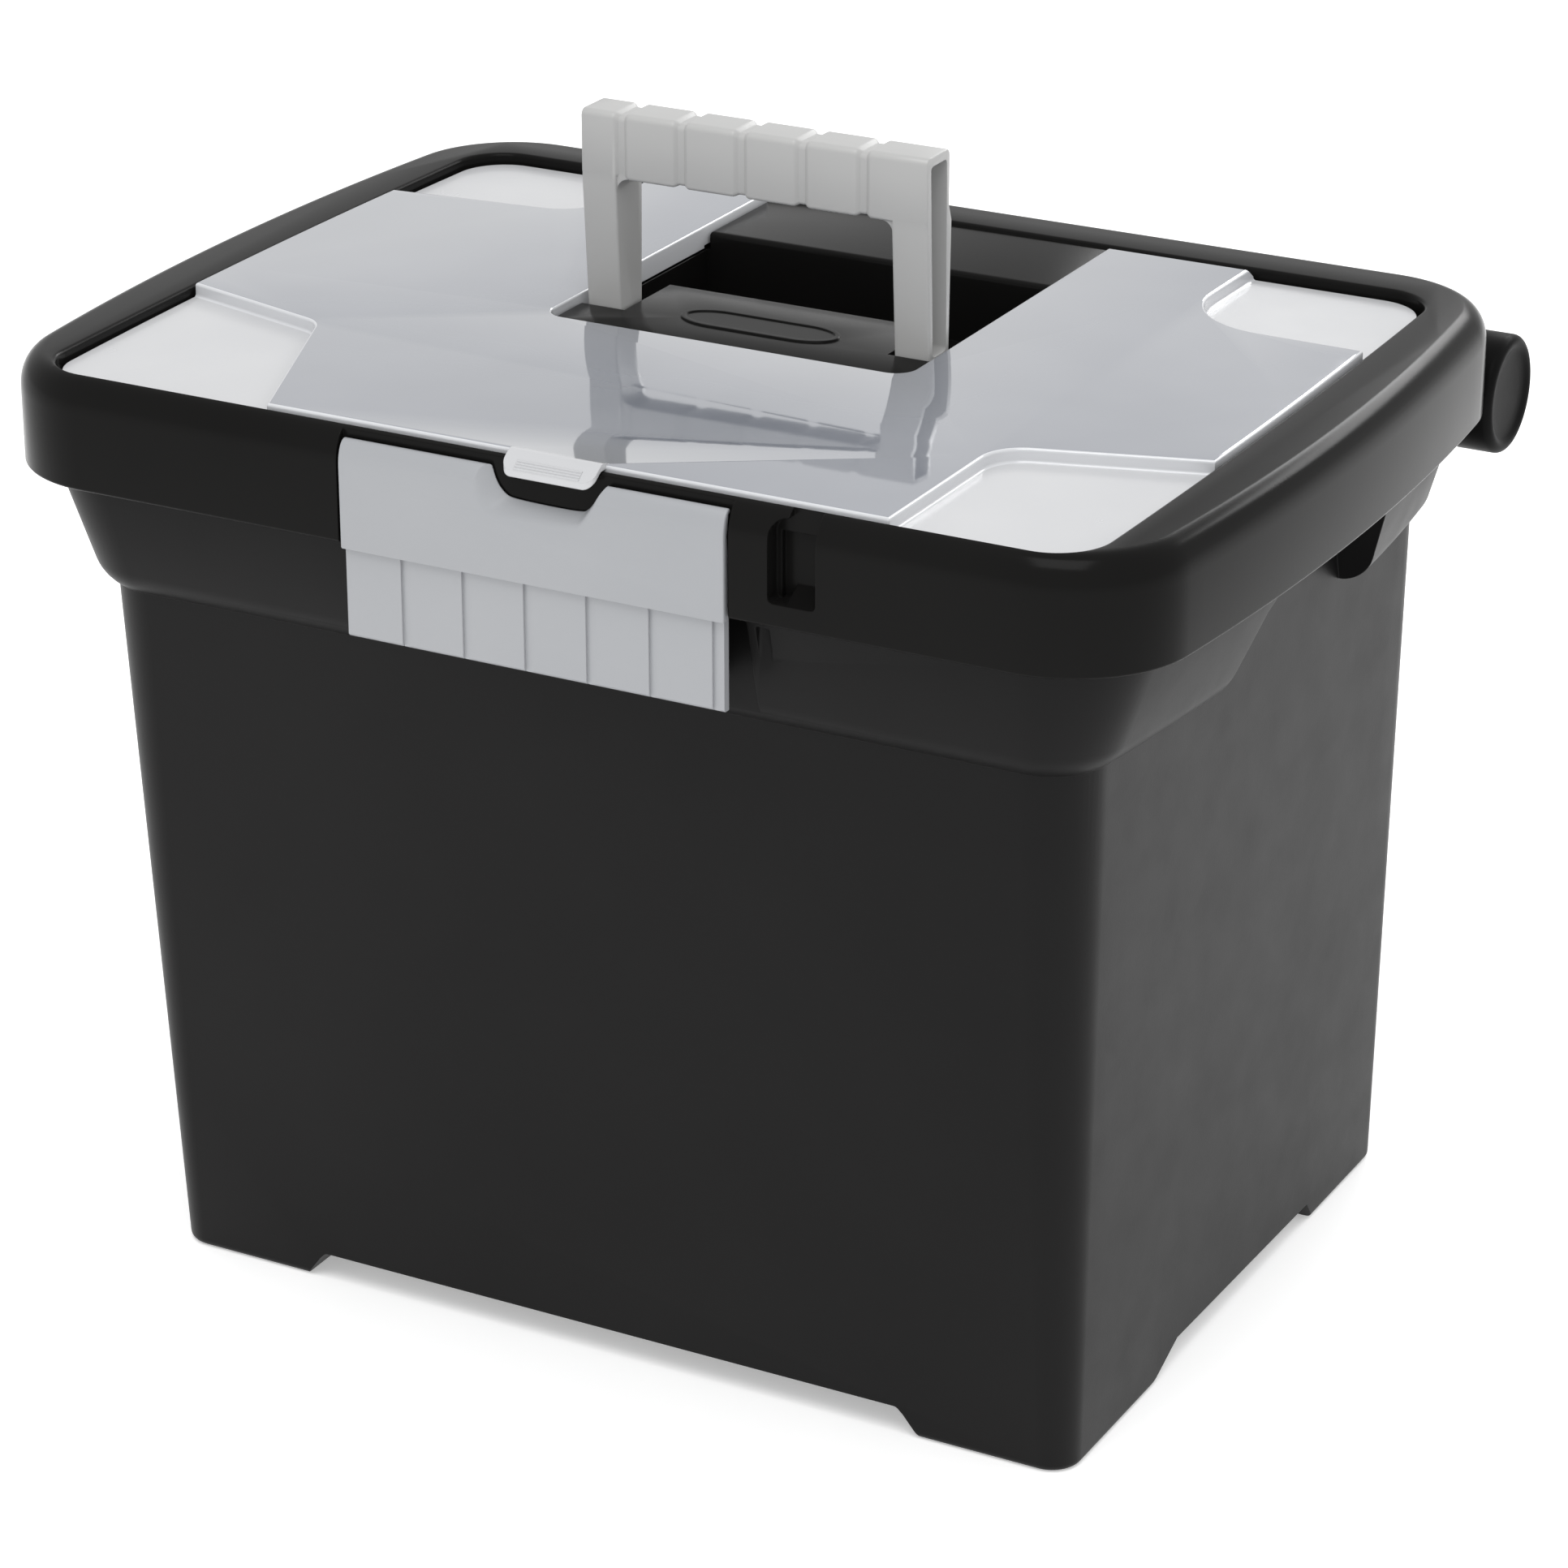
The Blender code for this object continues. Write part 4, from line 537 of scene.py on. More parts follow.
def make_lid():
    depth = LID_Z1 - CROWN_Z
    crown = [(lid_ring(CROWN_W * (1 - math.cos(a))), CROWN_Z + depth * math.sin(a))
             for a in quarter(12)]
    foot = [(lid_ring(LID_EDGE_R * (1 - math.sin(a))), LID_Z0 + LID_EDGE_R * (1 - math.cos(a)))
            for a in quarter(4)]
    lid = loft("lid", foot + crown)
    cut(lid, prism("pan", lid_ring(LID_WALL), LID_Z0 - 2 * MM, TRAY_UNDER_Z))
    channel = join(prism("channel", lid_ring(LID_WALL), TRAY_UNDER_Z - 1 * MM, CHANNEL_Z),
                   prism("upper", lid_ring(CHANNEL_UPPER_INSET), CHANNEL_Z - 1 * MM, CHANNEL_UPPER_Z))
    keep_out = join(prism("core", seat_ring(CORE_OUT), TRAY_UNDER_Z - 2 * MM, CHANNEL_Z + 2 * MM),
                    prism("core", seat_ring(CORE_UPPER_OUT), CHANNEL_Z + 0.5 * MM, CHANNEL_UPPER_Z + 3 * MM))
    cut(channel, keep_out,
        box("front", CHANNEL_GAP_X0, CHANNEL_GAP_X1, CUT_FRONT, -120 * MM, CUT_LOW, CUT_HIGH))
    cut(lid, channel)
    tray = prism("tray", seat_ring(TRAY_INSET, SEAT_Y1 - 0.2 * MM), TRAY_FLOOR_Z, LID_Z1 + 2 * MM)
    deck_hx = DECK_HX + 0.2 * MM
    cut(tray, join(box("block", -BLOCK_HX, BLOCK_HX, BLOCK_Y0, 60 * MM, CUT_LOW, CUT_HIGH),
                   box("block", -deck_hx, deck_hx, 50 * MM, CUT_BACK, CUT_LOW, CUT_HIGH)))
    for x in (-1, 1):
        c = x * (BLOCK_HX - DIVIDER / 2)
        a, b = sorted((x * (BLOCK_HX - 1 * MM), x * 160 * MM))
        cut(tray, box("divider", c - DIVIDER / 2, c + DIVIDER / 2, -140 * MM, BLOCK_Y0 + 1 * MM,
                      CUT_LOW, DIVIDER_Z),
            box("divider", a, b, DIVIDER_Y - DIVIDER / 2, DIVIDER_Y + DIVIDER / 2, CUT_LOW, DIVIDER_Z))
    cut(lid, tray)
    lip = SEAT_LIP
    seat = [(seat_ring(), SEAT_Z), (seat_ring(), LID_Z1 - lip)]
    seat += [(seat_ring(-lip * (1 - math.cos(a))), LID_Z1 - lip + lip * math.sin(a))
             for a in quarter(5, 1)]
    seat += [(seat_ring(-lip), LID_Z1 + 2 * MM)]
    cut(lid, loft("seat", seat))
    for side in (-1, 1):
        x0, x1 = sorted((side * (SEAT_HX - 10 * MM), side * (SEAT_HX + 1 * MM)))
        swing = rod("swing", x0, x1, COVER_PIVOT_Y, COVER_PIVOT_Z, COVER_SWEEP_R)
        cut(lid, keep(swing, prism("inside", seat_ring(0.2 * MM), TRAY_UNDER_Z, LID_Z1 + 2 * MM)))
    add_centre_block(lid)
    add_lid_front(lid)
    for side in (-1, 1):
        add_lid_hinge(lid, side)
    for x in (-1, 1):
        for y in REST_RIB_Y:
            bulge = SIDE_BOW * ((2 * y - LID_Y0 - LID_Y1) / (LID_Y1 - LID_Y0)) ** 2
            a, b = sorted((x * REST_RIB_X0, x * (LID_HX - bulge - REST_RIB_END)))
            join(lid, box("rib", a, b, y - REST_RIB_T / 2, y + REST_RIB_T / 2, RIM_Z + 0.5 * MM, REST_RIB_Z))
    return piece(lid, "lid_molding", "lid", "lid_shell", BLACK_LID)


def add_centre_block(lid):
    """Platform and deck standing in the seat, with the slots for the legs and the trough behind them."""
    ring_inset, edge = TROUGH_HX - DECK_HX, DECK_EDGE
    deck = [(notch_ring(ring_inset, DECK_BACK_Y), TRAY_UNDER_Z + 1 * MM),
            (notch_ring(ring_inset, DECK_BACK_Y), DECK_Z - edge),
            (notch_ring(ring_inset + edge * 0.3, DECK_BACK_Y), DECK_Z - edge * 0.3),
            (notch_ring(ring_inset + edge, DECK_BACK_Y), DECK_Z)]
    join(lid, loft("deck", deck))
    for x in (-1, 1):
        a, b = sorted((x * PLATFORM_HX, x * TROUGH_HX))
        cut(lid, box("slot", a, b, SLOT_Y0, PLATFORM_Y1 + 5 * MM, TROUGH_Z, CUT_HIGH))
    ledge = box("ledge", -BLOCK_HX * 1.01, BLOCK_HX * 1.01, -60 * MM, 96.2 * MM, LEDGE_Z, CUT_HIGH)
    cut(lid, cut(ledge, prism("deck", notch_ring(ring_inset, DECK_BACK_Y), 260 * MM, 290 * MM)))
    r = TROUGH_R
    trough = [(PLATFORM_Y1, TROUGH_Z), (DECK_Y, TROUGH_Z), (DECK_Y, DECK_Z - r)]
    trough += [(DECK_Y + r - r * math.cos(a), DECK_Z - r + r * math.sin(a)) for a in quarter(5, 1)]
    trough += [(DECK_Y + r, CUT_HIGH), (PLATFORM_Y1 - 1 * MM, CUT_HIGH), (PLATFORM_Y1 - 1 * MM, DECK_Z),
               (PLATFORM_Y1 - 0.3 * MM, DECK_Z - 0.3 * MM), (PLATFORM_Y1, DECK_Z - 1 * MM)]
    cut(lid, slab("trough", trough, -TROUGH_HX, TROUGH_HX))
    t, top = DECK_WALL, DECK_Z - DECK_SKIN
    cut(lid, box("under", -PLATFORM_HX + t, PLATFORM_HX - t, -33 * MM, PLATFORM_Y1 - t, CUT_LOW, top),
        box("under", -DECK_HX + t, DECK_HX - t, DECK_Y + t, SEAT_Y1 + 4 * MM, CUT_LOW, top))

    def oval(grow):
        turn = [2 * math.pi * (i + 0.5) / ROUND for i in range(ROUND)]
        return [(OVAL_X + math.copysign(OVAL_STRAIGHT, math.cos(a)) + (OVAL_HX + grow) * math.cos(a),
                 OVAL_Y + (OVAL_HY + grow) * math.sin(a)) for a in turn]

    raised = loft("oval", [(oval(0), DECK_Z - 1 * MM), (oval(0), DECK_Z + 0.3 * MM),
                           (oval(-0.25 * MM), DECK_Z + 0.5 * MM)])
    cut(raised, loft("dish", [(oval(-1.6 * MM), DECK_Z + 0.15 * MM), (oval(-1.3 * MM), DECK_Z + 1 * MM)]))
    join(lid, raised)
    for side in (-1, 1):
        x0, x1 = sorted((side * (PLATFORM_HX - 4 * MM), side * (BLOCK_HX + 0.4 * MM)))
        cut(lid, rod("bore", x0, x1, PIVOT_Y, PIVOT_Z, HANDLE_PIN_R + BORE_CLEAR))
        x0, x1 = sorted((side * 150 * MM, side * (SEAT_HX + 0.6 * MM)))
        cut(lid, rod("bore", x0, x1, COVER_PIVOT_Y, COVER_PIVOT_Z, COVER_PIN_R + BORE_CLEAR))


def add_lid_front(lid):
    """Recess behind the latch and the lock pocket beside it."""
    cut(lid, box("recess", LATCH_X - LATCH_HX - RECESS_SIDE, LATCH_X + LATCH_HX + RECESS_SIDE,
                 CUT_FRONT, RECESS_Y, CUT_LOW, CUT_HIGH))
    r, small = POCKET_R, POCKET_SMALL_R
    pocket = arc(POCKET_X0 + small, POCKET_Z0 + small, small, 180, 270, 4)
    pocket += arc(POCKET_X1 - small, POCKET_Z0 + small, small, 270, 360, 4)
    pocket += [(POCKET_X1, POCKET_Z1 + 4 * MM), (POCKET_X0 + r, POCKET_Z1 + 4 * MM)]
    pocket += arc(POCKET_X0 + r, POCKET_Z1 - r, r, 90, 180, 8)
    deep = box("deep", POCKET_X0 + small, POCKET_X1 - small, POCKET_Y - 1 * MM, POCKET_DEEP_Y,
               POCKET_Z0, POCKET_DEEP_Z)
    cut(lid, wall("pocket", pocket, CUT_FRONT, POCKET_Y), deep)
    back = POCKET_DEEP_Y + 0.3 * MM
    step = slab("step", [(POCKET_STEP_Y, POCKET_Z0), (back, POCKET_Z0), (back, POCKET_Z0 + 4 * MM)],
                POCKET_X0 + POCKET_R, POCKET_X1 + 0.5 * MM)
    join(lid, step)


def add_lid_hinge(lid, side):
    """Barrel and web behind the lid."""
    a, b = sorted((side * (LUG_X0 - 0.8 * MM), side * (LUG_X1 + 0.3 * MM)))
    cut(lid, rod("clear", a, b, HINGE_Y, HINGE_Z, BARREL_R + BARREL_CLEAR))
    x0, x1 = sorted((side * BARREL_X0, side * BARREL_X1))
    barrel = rod("barrel", x0, x1, HINGE_Y, HINGE_Z, BARREL_R, BARREL_EDGE)
    web = slab("web", [(LID_Y1 - 1.6 * MM, HINGE_Z + 4.5 * MM), (HINGE_Y, HINGE_Z + 4 * MM),
                       (HINGE_Y + 7 * MM, HINGE_Z + 6 * MM), (LID_Y1 + 1.5 * MM, 264 * MM),
                       (LID_Y1 - 1.6 * MM, 264 * MM)], x0 + 0.3 * MM, x1 - 0.3 * MM)
    join(lid, join(barrel, web))
    cut(lid, rod("bore", x0 - BORE_PAST, x1 + BORE_PAST, HINGE_Y, HINGE_Z, HINGE_PIN_R + BORE_CLEAR))
    x0, x1 = sorted((side * (HEAD_X0 - END_CLEAR), side * (HEAD_X1 + 8 * MM)))
    cut(lid, rod("clear", x0, x1, HINGE_Y, HINGE_Z, HINGE_HEAD_R + BARREL_CLEAR))


# ---- cover ---------------------------------------------------------------------
def unit(p, q):
    length = math.dist(p, q)
    return (q[0] - p[0]) / length, (q[1] - p[1]) / length


def pad_outline(pad, grow, steps=14):
    """A pad's outline, its inner edges moved outwards from the pad's own corner by grow."""
    start, corner, end, radius = pad
    ua, ub = unit(corner, start), unit(corner, end)
    half = math.acos(ua[0] * ub[0] + ua[1] * ub[1]) / 2
    bis = unit((0, 0), (ua[0] + ub[0], ua[1] + ub[1]))
    grow_mm = grow / MM
    centre = (corner[0] + bis[0] * radius / math.sin(half), corner[1] + bis[1] * radius / math.sin(half))
    reach = radius / math.tan(half)
    turn = [math.atan2(corner[1] + u[1] * reach - centre[1], corner[0] + u[0] * reach - centre[0])
            for u in (ua, ub)]
    sweep = (turn[1] - turn[0] + math.pi) % (2 * math.pi) - math.pi
    r = radius + grow_mm
    path = [(centre[0] + r * math.cos(turn[0] + sweep * i / steps),
             centre[1] + r * math.sin(turn[0] + sweep * i / steps)) for i in range(steps + 1)]
    na, nb = (math.cos(turn[0]), math.sin(turn[0])), (math.cos(turn[1]), math.sin(turn[1]))
    first = (start[0] + na[0] * grow_mm, start[1] + na[1] * grow_mm)
    last = (end[0] + nb[0] * grow_mm, end[1] + nb[1] * grow_mm)
    out_x, out_y = math.copysign(PAD_OUT_X, end[0]), math.copysign(PAD_OUT_Y, start[1])
    path = [first, *path, last, (out_x, last[1]), (out_x, out_y), (first[0], out_y)]
    return [(x * MM, y * MM) for x, y in path]


def pad_cutter(pad):
    """Cutter that leaves a rounded foot and a rounded brow along the pad's step."""
    r = COVER_ROUND
    rings = [(pad_outline(pad, -r + r * math.sin(a)), PAD_Z + r * (1 - math.cos(a))) for a in quarter(5)]
    rings += [(pad_outline(pad, r * (1 - math.cos(a))), RAISED_Z - r + r * math.sin(a)) for a in quarter(5)]
    rings += [(pad_outline(pad, r), RAISED_Z + 4 * MM)]
    return loft("pad", rings)


def make_cover():
    edge = COVER_EDGE_R
    under = PAD_Z - COVER_T
    rings = [(seat_ring(COVER_GAP, COVER_Y1, COVER_BOW), under),
             (seat_ring(COVER_GAP, COVER_Y1, COVER_BOW), RAISED_Z - edge)]
    for a in quarter(4, 1):
        back_in = edge * (1 - math.cos(a))
        rings.append((seat_ring(COVER_GAP + back_in, COVER_Y1 - back_in, COVER_BOW),
                      RAISED_Z - edge + edge * math.sin(a)))
    cover = loft("cover", rings)
    for pad in PADS:
        cut(cover, pad_cutter(pad))
    inside = seat_ring(COVER_GAP + COVER_T, COVER_Y1 - COVER_T, COVER_BOW)
    pocket = prism("pocket", inside, under - 2 * MM, RAISED_Z - COVER_T)
    for pad in PADS:
        cut(pocket, prism("pad", pad_outline(pad, COVER_T), under - 5 * MM, RAISED_Z + 5 * MM))
    rim_x, rim_y = TROUGH_HX + COVER_T, NOTCH_Y - COVER_T
    cut(pocket, box("rim", -rim_x, rim_x, rim_y, CUT_BACK, under - 5 * MM, RAISED_Z + 5 * MM))
    cut(cover, pocket)
    join(cover, prism("rim", notch_ring(-COVER_T, COVER_RIM_Y1), RIM_DROP_Z, under + 1 * MM))
    lip = [(notch_ring(0, CUT_BACK), 260 * MM), (notch_ring(0, CUT_BACK), RAISED_Z - edge)]
    lip += [(notch_ring(-edge * (1 - math.cos(a)), CUT_BACK), RAISED_Z - edge + edge * math.sin(a))
            for a in quarter(4, 1)]
    cut(cover, loft("hole", lip + [(notch_ring(-edge, CUT_BACK), CUT_HIGH + 2 * MM)]))
    back, high, low = COVER_Y1, RAISED_Z + 0.01 * MM, RAISED_Z - COVER_SLOPE_FALL * COVER_SLOPE
    slope = [(back - COVER_SLOPE, high), (back + 1 * MM, high), (back + 1 * MM, low), (back, low)]
    cut(cover, slab("slope", slope, -SEAT_HX, SEAT_HX))
    add_tab(cover)
    for side in (-1, 1):
        x0, x1 = sorted((side * COVER_BARREL_X0, side * COVER_BARREL_X1))
        join(cover, rod("barrel", x0, x1, COVER_PIVOT_Y, COVER_PIVOT_Z, COVER_BARREL_R, 0.3 * MM))
        x0, x1 = sorted((side * (COVER_BARREL_X0 - 1 * MM), side * SEAT_HX))
        cut(cover, rod("bore", x0, x1, COVER_PIVOT_Y, COVER_PIVOT_Z, COVER_PIN_R + BORE_CLEAR))
    obj = piece(cover, "cover_panel", "cover", "organizer_cover", COVER_RAISED, COVER_PAD, COVER_WALL_HIGHLIGHT)
    # flat pad tops and the tab take the pad plastic; every other sloped or upright face takes the lighter
    # copy, a painted highlight
    for face in obj.data.polygons:
        on_tab, on_pad = face.center.y < SEAT_Y0, abs(face.center.z - PAD_Z) < 0.2 * MM
        if on_tab or (on_pad and face.normal.z > 0.95):
            face.material_index = 1
        elif face.normal.z < 0.95:
            face.material_index = 2
    return obj


def add_tab(cover):
    """Lift tab that droops over the front, with rounded corners and a ribbed end."""
    top = smooth([(TAB_ROOT_Y, RAISED_Z - 0.3 * MM), (TAB_RAMP_Y, TAB_TOP_Z), (TAB_BEND_Y, TAB_TOP_Z),
                  (TAB_Y, TAB_END_Z)])
    low = smooth([(TAB_ROOT_Y, TAB_TOP_Z - TAB_T), (TAB_RAMP_Y, TAB_TOP_Z - TAB_T),
                  (TAB_BEND_Y - 0.4 * TAB_T, TAB_TOP_Z - TAB_T), (TAB_Y, TAB_END_Z - TAB_T)])
    tab = slab("tab", top + low[::-1], TAB_X0, TAB_X1)
    root = TAB_ROOT_Y + 1 * MM
    plan = [(TAB_X0, root)] + arc(TAB_X0 + TAB_R, TAB_Y + TAB_R, TAB_R, 180, 270, 8)
    plan += arc(TAB_X1 - TAB_R, TAB_Y + TAB_R, TAB_R, 270, 360, 8) + [(TAB_X1, root)]
    join(cover, soften(keep(tab, prism("plan", plan, 260 * MM, CUT_HIGH)), 0.35 * MM, 3, 40))
    for k in range(TAB_RIBS):
        t = TAB_RIB_START + TAB_RIB_STEP * k
        y = TAB_BEND_Y + (TAB_Y - TAB_BEND_Y) * t
        z = TAB_TOP_Z + (TAB_END_Z - TAB_TOP_Z) * t
        join(cover, rod("rib", TAB_X0 + TAB_RIB_END, TAB_X1 - TAB_RIB_END, y, z - 0.12 * MM, TAB_RIB_R))


# ---- handle --------------------------------------------------------------------
def grip_ring(inset):
    """Section of the grip: rounded top corners, slightly rounded bottom ones."""
    y0, y1, top, r, low = HANDLE_Y0 + inset, GRIP_BACK_Y - inset, GRIP_Z1 - inset, GRIP_R, GRIP_LOW_R
    bottom = GRIP_Z0 + inset * 0.6
    ring = arc(y0 + low, bottom + low, low, 270, 180, 4) + arc(y0 + r, top - r, r, 180, 90, 7)
    ring += arc(y1 - r, top - r, r, 90, 0, 7) + arc(y1 - low, bottom + low, low, 0, -90, 4)
    return ring


def make_handle():
    y0, y1 = HANDLE_Y0 + 0.02 * MM, HANDLE_Y1
    edge, ease = 0.5 * MM, 0.15 * MM
    hx, inner = HANDLE_HX, HANDLE_HX - LEG_W
    stations = [(-hx, edge), (-hx + ease, ease), (-hx + edge, 0)]
    for k in range(-2, 3):
        for i in range(-GROOVE_STEPS, GROOVE_STEPS + 1):
            u = i / GROOVE_STEPS
            depth = GROOVE_D * min(1.0, GROOVE_FLATNESS * (0.5 + 0.5 * math.cos(math.pi * u)))
            stations.append((GROOVE_X + k * GROOVE_PITCH + GROOVE_HALF * u, depth))
    stations += [(hx - edge, 0), (hx - ease, ease), (hx, edge)]
    handle = skin("handle", [[(x, y, z) for y, z in grip_ring(inset)] for x, inset in stations])
    for side in (-1, 1):
        x0, x1 = sorted((side * inner, side * hx))
        leg = arc(PIVOT_Y, PIVOT_Z, LEG_FOOT_R, 180, 360, 16)
        leg += [(LEG_LOW_Y1, LEG_LOW_Z), (y1, GRIP_Z0 - LEG_BLEND), (GRIP_BACK_Y, GRIP_Z0 + 2 * LEG_BLEND),
                (y0, GRIP_Z0 + 2 * LEG_BLEND), (y0, GRIP_Z0 - LEG_BLEND), (LEG_LOW_Y0, LEG_LOW_Z)]
        join(handle, soften(slab("leg", leg, x0, x1), LEG_EDGE_R, 4, 30))
        r, root = GUSSET_R, inner + 1 * MM
        gusset = [(side * root, GRIP_Z0 + 2 * MM), (side * (inner - r), GRIP_Z0 + 2 * MM)]
        gusset += [(side * (inner - r + r * math.sin(a)), GRIP_Z0 - r + r * math.cos(a))
                   for a in quarter(8)]
        gusset += [(side * root, GRIP_Z0 - r)]
        join(handle, wall("gusset", gusset, y0 + 0.9 * MM, GRIP_BACK_Y - 0.9 * MM))
        a, b = sorted((side * (inner + CHANNEL_WALL), side * (hx + 2 * MM)))
        low, high = LEG_LOW_Z, GRIP_Z1 - CHANNEL_TOP
        channel = slab("channel", [(LEG_LOW_Y0 + CHANNEL_WALL, low), (LEG_LOW_Y1 - CHANNEL_WALL, low),
                                   (GRIP_BACK_Y - CHANNEL_WALL, high), (y0 + CHANNEL_WALL, high)], a, b)
        cut(handle, soften(channel, CHANNEL_R, 4))
        a, b = sorted((side * (inner - 4 * MM), side * (hx + 4 * MM)))
        cut(handle, rod("bore", a, b, PIVOT_Y, PIVOT_Z, HANDLE_PIN_R + BORE_CLEAR))
    return piece(handle, "handle_molding", "handle", "carry_handle", GREY_HANDLE)


# ---- latch ---------------------------------------------------------------------
def make_latch():
    x0, x1 = LATCH_X - LATCH_HX, LATCH_X + LATCH_HX
    y, t, top, r = LATCH_Y, LATCH_T, LATCH_Z1, LATCH_TOP_R
    nose = LATCH_NOSE
    reach = r * LATCH_TOP_REACH - nose
    outer = [(y + reach * (1 - math.cos(a)), top - r + r * math.sin(a))
             for a in quarter(14)]
    inner = [(y + reach + nose * math.sin(a), top - nose + nose * math.cos(a))
             for a in (math.pi * i / 6 for i in range(1, 7))]
    inner += [(y + t - 0.4 * MM, top - r), (y + t, top - r - 4 * MM)]
    step = [(y + t, LATCH_STEP_Z), (y + 0.6 * MM, LATCH_STEP_Z), (y + 0.2 * MM, LATCH_STEP_Z + 0.15 * MM),
            (y, LATCH_STEP_Z + 0.6 * MM)]
    latch = slab("latch", outer + inner + step, x0, x1)
    soften_ends(latch, x0, x1, LATCH_END_R)
    back, edge, high = y + LATCH_LOW_T, LATCH_EDGE, LATCH_STEP_Z + 1 * MM
    lower = [(LATCH_RIB_Y, LATCH_Z0 + edge), (LATCH_RIB_Y, high), (back, high), (back, LATCH_Z0),
             (LATCH_RIB_Y + edge, LATCH_Z0)]
    join(latch, slab("lower", lower, x0 + LATCH_LOW_SIDE, x1 - LATCH_LOW_SIDE))
    for k in range(RIBS):
        a, rib = RIB_X + k * RIB_PITCH, LATCH_RIB_Y
        b = a + RIB_RAMP
        ramp = [(a, rib - 1 * MM), (b, rib - 1 * MM), (b, rib), (b - 0.6 * MM, rib + 0.06 * MM),
                (a + 0.6 * MM, rib + 0.9 * RIB_D), (a, rib + RIB_D)]
        cut(latch, prism("ramp", ramp, LATCH_Z0 - 1 * MM, LATCH_STEP_Z - 0.1 * MM))
    add_finger_notch(latch, x0, x1)
    for x in LATCH_ARM_X:
        a, b = LATCH_X + x - LUG_HALF, LATCH_X + x + LUG_HALF
        arm = rod("arm", a, b, LATCH_PIVOT_Y, LATCH_PIVOT_Z, LATCH_LUG_R, LUG_EDGE)
        web = box("web", a, b, y + t, LATCH_PIVOT_Y, LATCH_PIVOT_Z - LATCH_LUG_R, LATCH_PIVOT_Z + LATCH_LUG_R)
        join(latch, join(arm, web))
    cut(latch, rod("bore", LATCH_X - LATCH_BORE_HX, LATCH_X + LATCH_BORE_HX, LATCH_PIVOT_Y, LATCH_PIVOT_Z,
                   LATCH_PIN_R + BORE_CLEAR))
    return piece(latch, "latch_molding", "latch", "front_latch", GREY_LATCH)


def soften_ends(obj, x0, x1, width):
    """Round the two end outlines of a bar that runs along X."""
    bm = bmesh.new()
    bm.from_mesh(obj.data)
    tiny = 0.01 * MM
    edges = [e for e in bm.edges if any(all(abs(v.co.x - x) < tiny for v in e.verts) for x in (x0, x1))]
    bmesh.ops.bevel(bm, geom=edges, offset=width, segments=4, profile=0.5, affect="EDGES", clamp_overlap=True)
    bm.to_mesh(obj.data)
    bm.free()


def scoop_ring(points, grow=0.0):
    """Outline of the finger notch in the XZ plane, its sides and floor moved outwards by grow."""
    centre = (points[0][0] + points[-1][0]) / 2 * MM
    return smooth([(x * MM + math.copysign(grow, x * MM - centre), z * MM - grow) for x, z in points])


def add_finger_notch(latch, x0, x1):
    """Finger notch whose walls and floor run back from the front face and close in as they go."""
    body = wall("scoop", scoop_ring(SCOOP_FRONT, SCOOP_WALL), LATCH_Y + LATCH_T - 0.4 * MM, SCOOP_BACK_Y)
    limit = box("limit", x0, x1, LATCH_Y, SCOOP_BACK_Y + 1 * MM, 250 * MM, SCOOP_TOP_Z)
    join(latch, keep(body, limit))
    rings = []
    mouth = [(LATCH_Y + depth * MM, grow * MM) for depth, grow in SCOOP_MOUTH]
    for y, grow in mouth + [(SCOOP_BACK_Y, 0), (SCOOP_BACK_Y + 2 * MM, 0)]:
        s = (y - LATCH_Y) / (SCOOP_BACK_Y - LATCH_Y)
        pairs = zip(scoop_ring(SCOOP_FRONT, grow), scoop_ring(SCOOP_BACK, grow))
        rings.append([(xa + (xb - xa) * s, y, za + (zb - za) * s) for (xa, za), (xb, zb) in pairs])
    cut(latch, skin("notch", rings))


# ---- hinge caps and pins -------------------------------------------------------
def make_hinge_cap(side, suffix):
    """Pin with a dished round head."""
    x0, x1 = sorted((side * (LUG_X0 + 1 * MM), side * (HEAD_X0 + 1 * MM)))
    pin = rod("pin", x0, x1, HINGE_Y, HINGE_Z, HINGE_PIN_R, 0.3 * MM)
    r, inner, outer = HINGE_HEAD_R, HEAD_X0, HEAD_X1
    curve = HEAD_EDGE_R
    profile = [(inner, r - 1 * MM), (inner + 0.3 * MM, r - 0.3 * MM), (inner + 1 * MM, r), (outer - curve, r)]
    profile += [(outer - curve + curve * math.sin(a), r - curve + curve * math.cos(a)) for a in quarter(6, 1)]
    profile += [(outer - depth * MM, r - inset * MM) for depth, inset in HEAD_DISH]
    profile += [(outer - HEAD_CENTRE_D, HEAD_CENTRE_R)]
    rings = [[(side * x, y, z) for y, z in disc(HINGE_Y, HINGE_Z, radius, 96)] for x, radius in profile]
    join(pin, skin("head", rings))
    return piece(pin, "hinge_cap_" + suffix, "base", "hinge_pin_" + suffix, BLACK_CAP)


def finish_pins():
    """The small pins keep their CAD shape and take a fine metal or plastic finish."""
    for name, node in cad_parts.items():
        if name.startswith(("handle_pin", "cover_pin", "latch_pin")):
            node.data.materials.clear()
            node.data.materials.append(STEEL if name == "latch_pin" else GREY_HANDLE)
            node.data.shade_smooth()
            node.data.set_sharp_from_angle(angle=math.radians(SHARP_ANGLE))


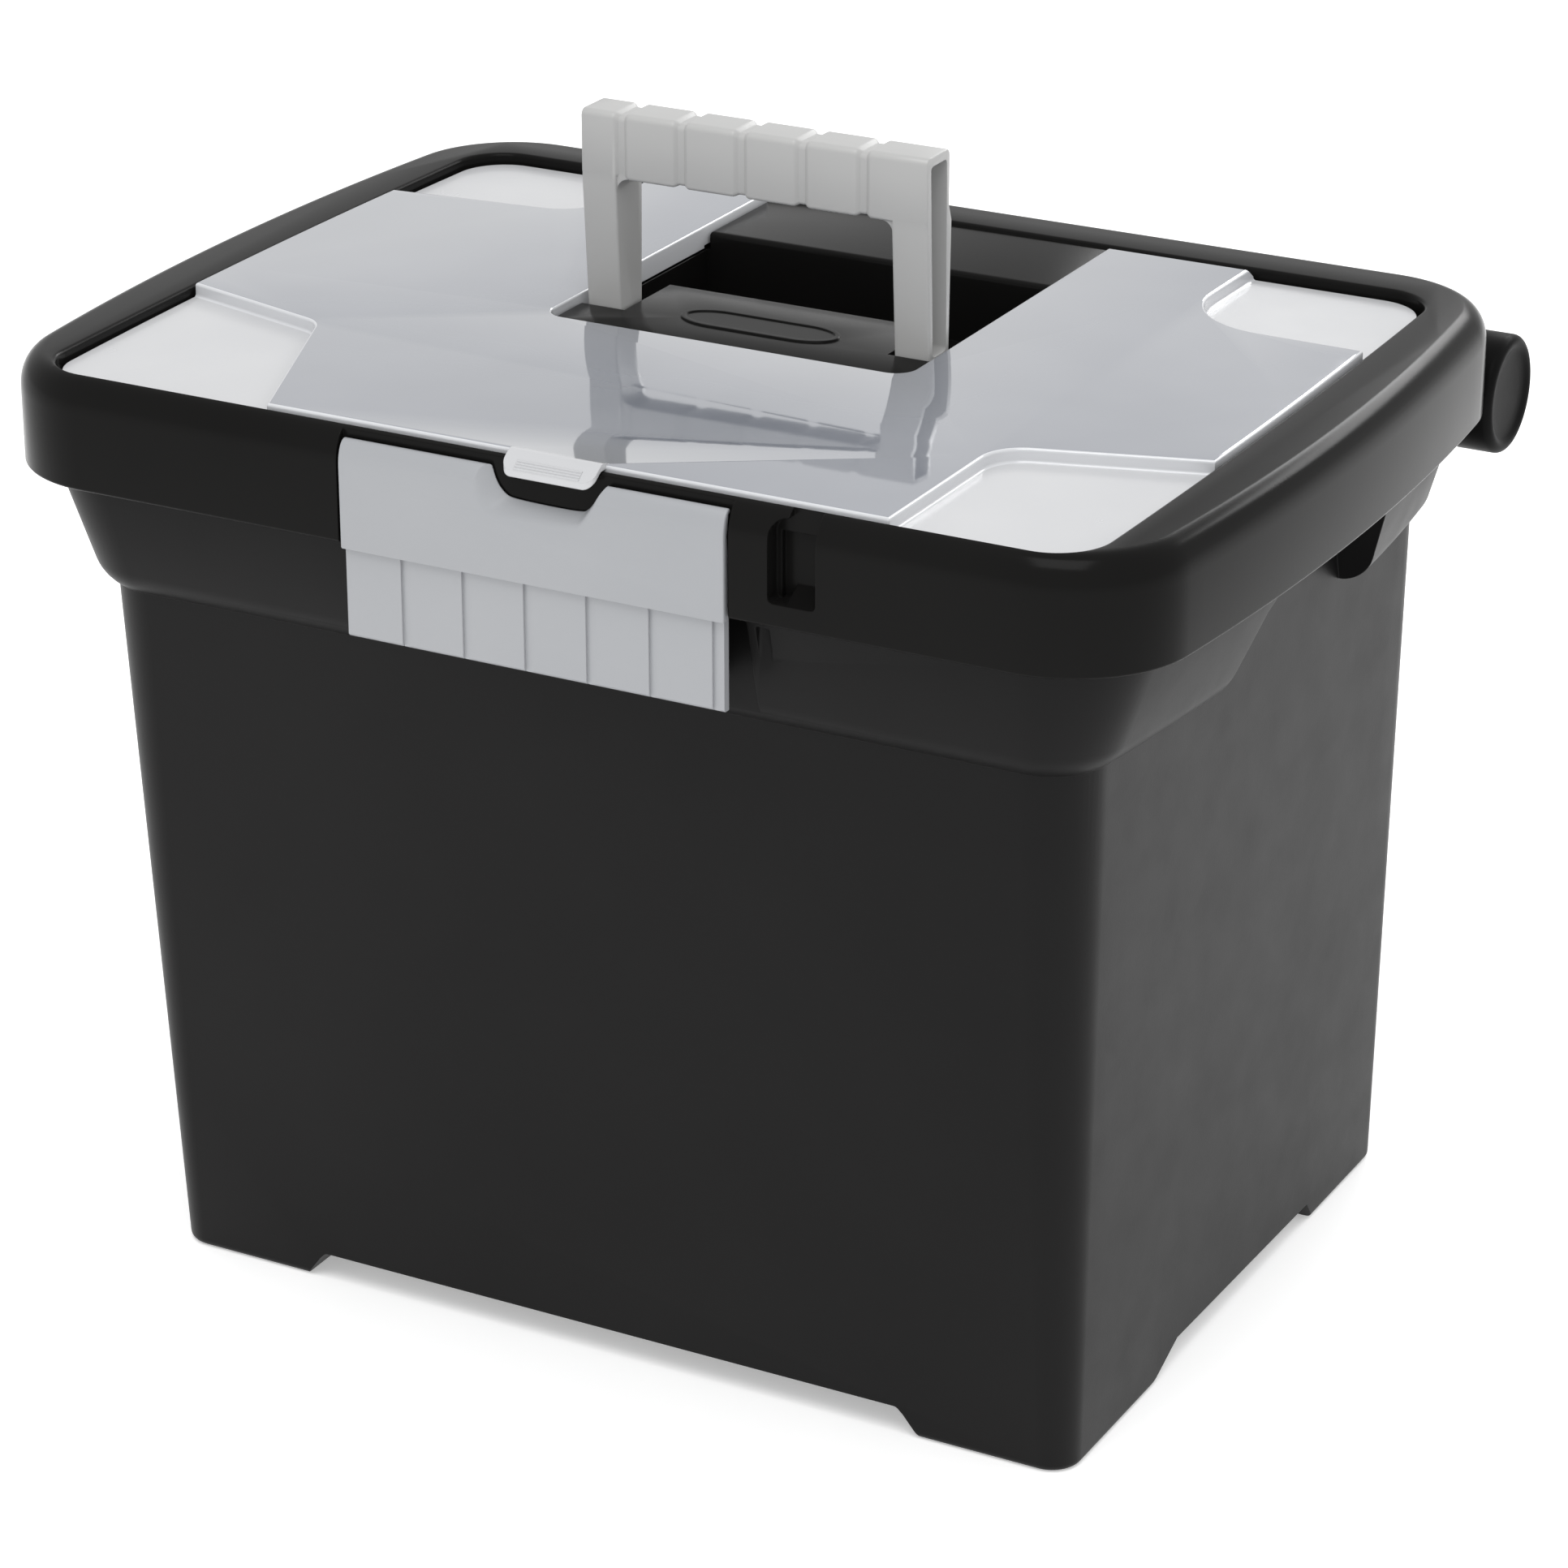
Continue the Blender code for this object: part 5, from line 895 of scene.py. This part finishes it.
# ---- stage ---------------------------------------------------------------------
def make_floor():
    floor = box("floor", -FLOOR_HALF, FLOOR_HALF, -FLOOR_HALF, FLOOR_HALF, -FLOOR_T, 0.0)
    mat = bpy.data.materials.new("floor_white")
    mat.use_nodes = True
    tree = mat.node_tree
    shader = tree.nodes["Principled BSDF"]
    shader.inputs["Base Color"].default_value = (FLOOR_GREY, FLOOR_GREY, FLOOR_GREY, 1.0)
    shader.inputs["Emission Color"].default_value = (1.0, 1.0, 1.0, 1.0)
    shader.inputs["Emission Strength"].default_value = FLOOR_GLOW
    coords = tree.nodes.new("ShaderNodeTexCoord")
    grain = noise(tree, coords, 40.0)
    tree.links.new(ramp(tree, grain, 0.3, 0.7, 0.7, 0.8), shader.inputs["Roughness"])
    floor.data.materials.append(mat)


def area_light(name, place, size, size_y, power):
    """A rectangular lamp turned towards LIGHT_AIM."""
    data = bpy.data.lights.new(name, "AREA")
    data.shape = "RECTANGLE"
    data.size = size
    data.size_y = size_y
    data.energy = power
    light = bpy.data.objects.new(name, data)
    light.location = place
    light.rotation_euler = (Vector(LIGHT_AIM) - Vector(place)).to_track_quat("-Z", "Y").to_euler()
    bpy.context.scene.collection.objects.link(light)


def make_lights():
    world = bpy.data.worlds.new("studio")
    bpy.context.scene.world = world
    world.use_nodes = True
    back = world.node_tree.nodes["Background"]
    back.inputs["Color"].default_value = (1.0, 1.0, 1.0, 1.0)
    back.inputs["Strength"].default_value = WORLD_STRENGTH
    area_light("key", *KEY_LIGHT)
    area_light("rim", *RIM_LIGHT)


def make_camera():
    data = bpy.data.cameras.new("camera")
    data.lens = LENS
    data.sensor_width = SENSOR
    data.clip_end = CLIP_END
    camera = bpy.data.objects.new("camera", data)
    camera.location = CAMERA_AT
    camera.rotation_euler = (Vector(CAMERA_TO) - camera.location).to_track_quat("-Z", "Y").to_euler()
    bpy.context.scene.collection.objects.link(camera)
    bpy.context.scene.camera = camera


bpy.context.scene.view_settings.view_transform = "Standard"
make_camera()
make_floor()
make_lights()
make_bin()
make_lid()
make_cover()
make_handle()
make_latch()
for hand, tag in ((-1, "left"), (1, "right")):
    make_hinge_cap(hand, tag)
finish_pins()
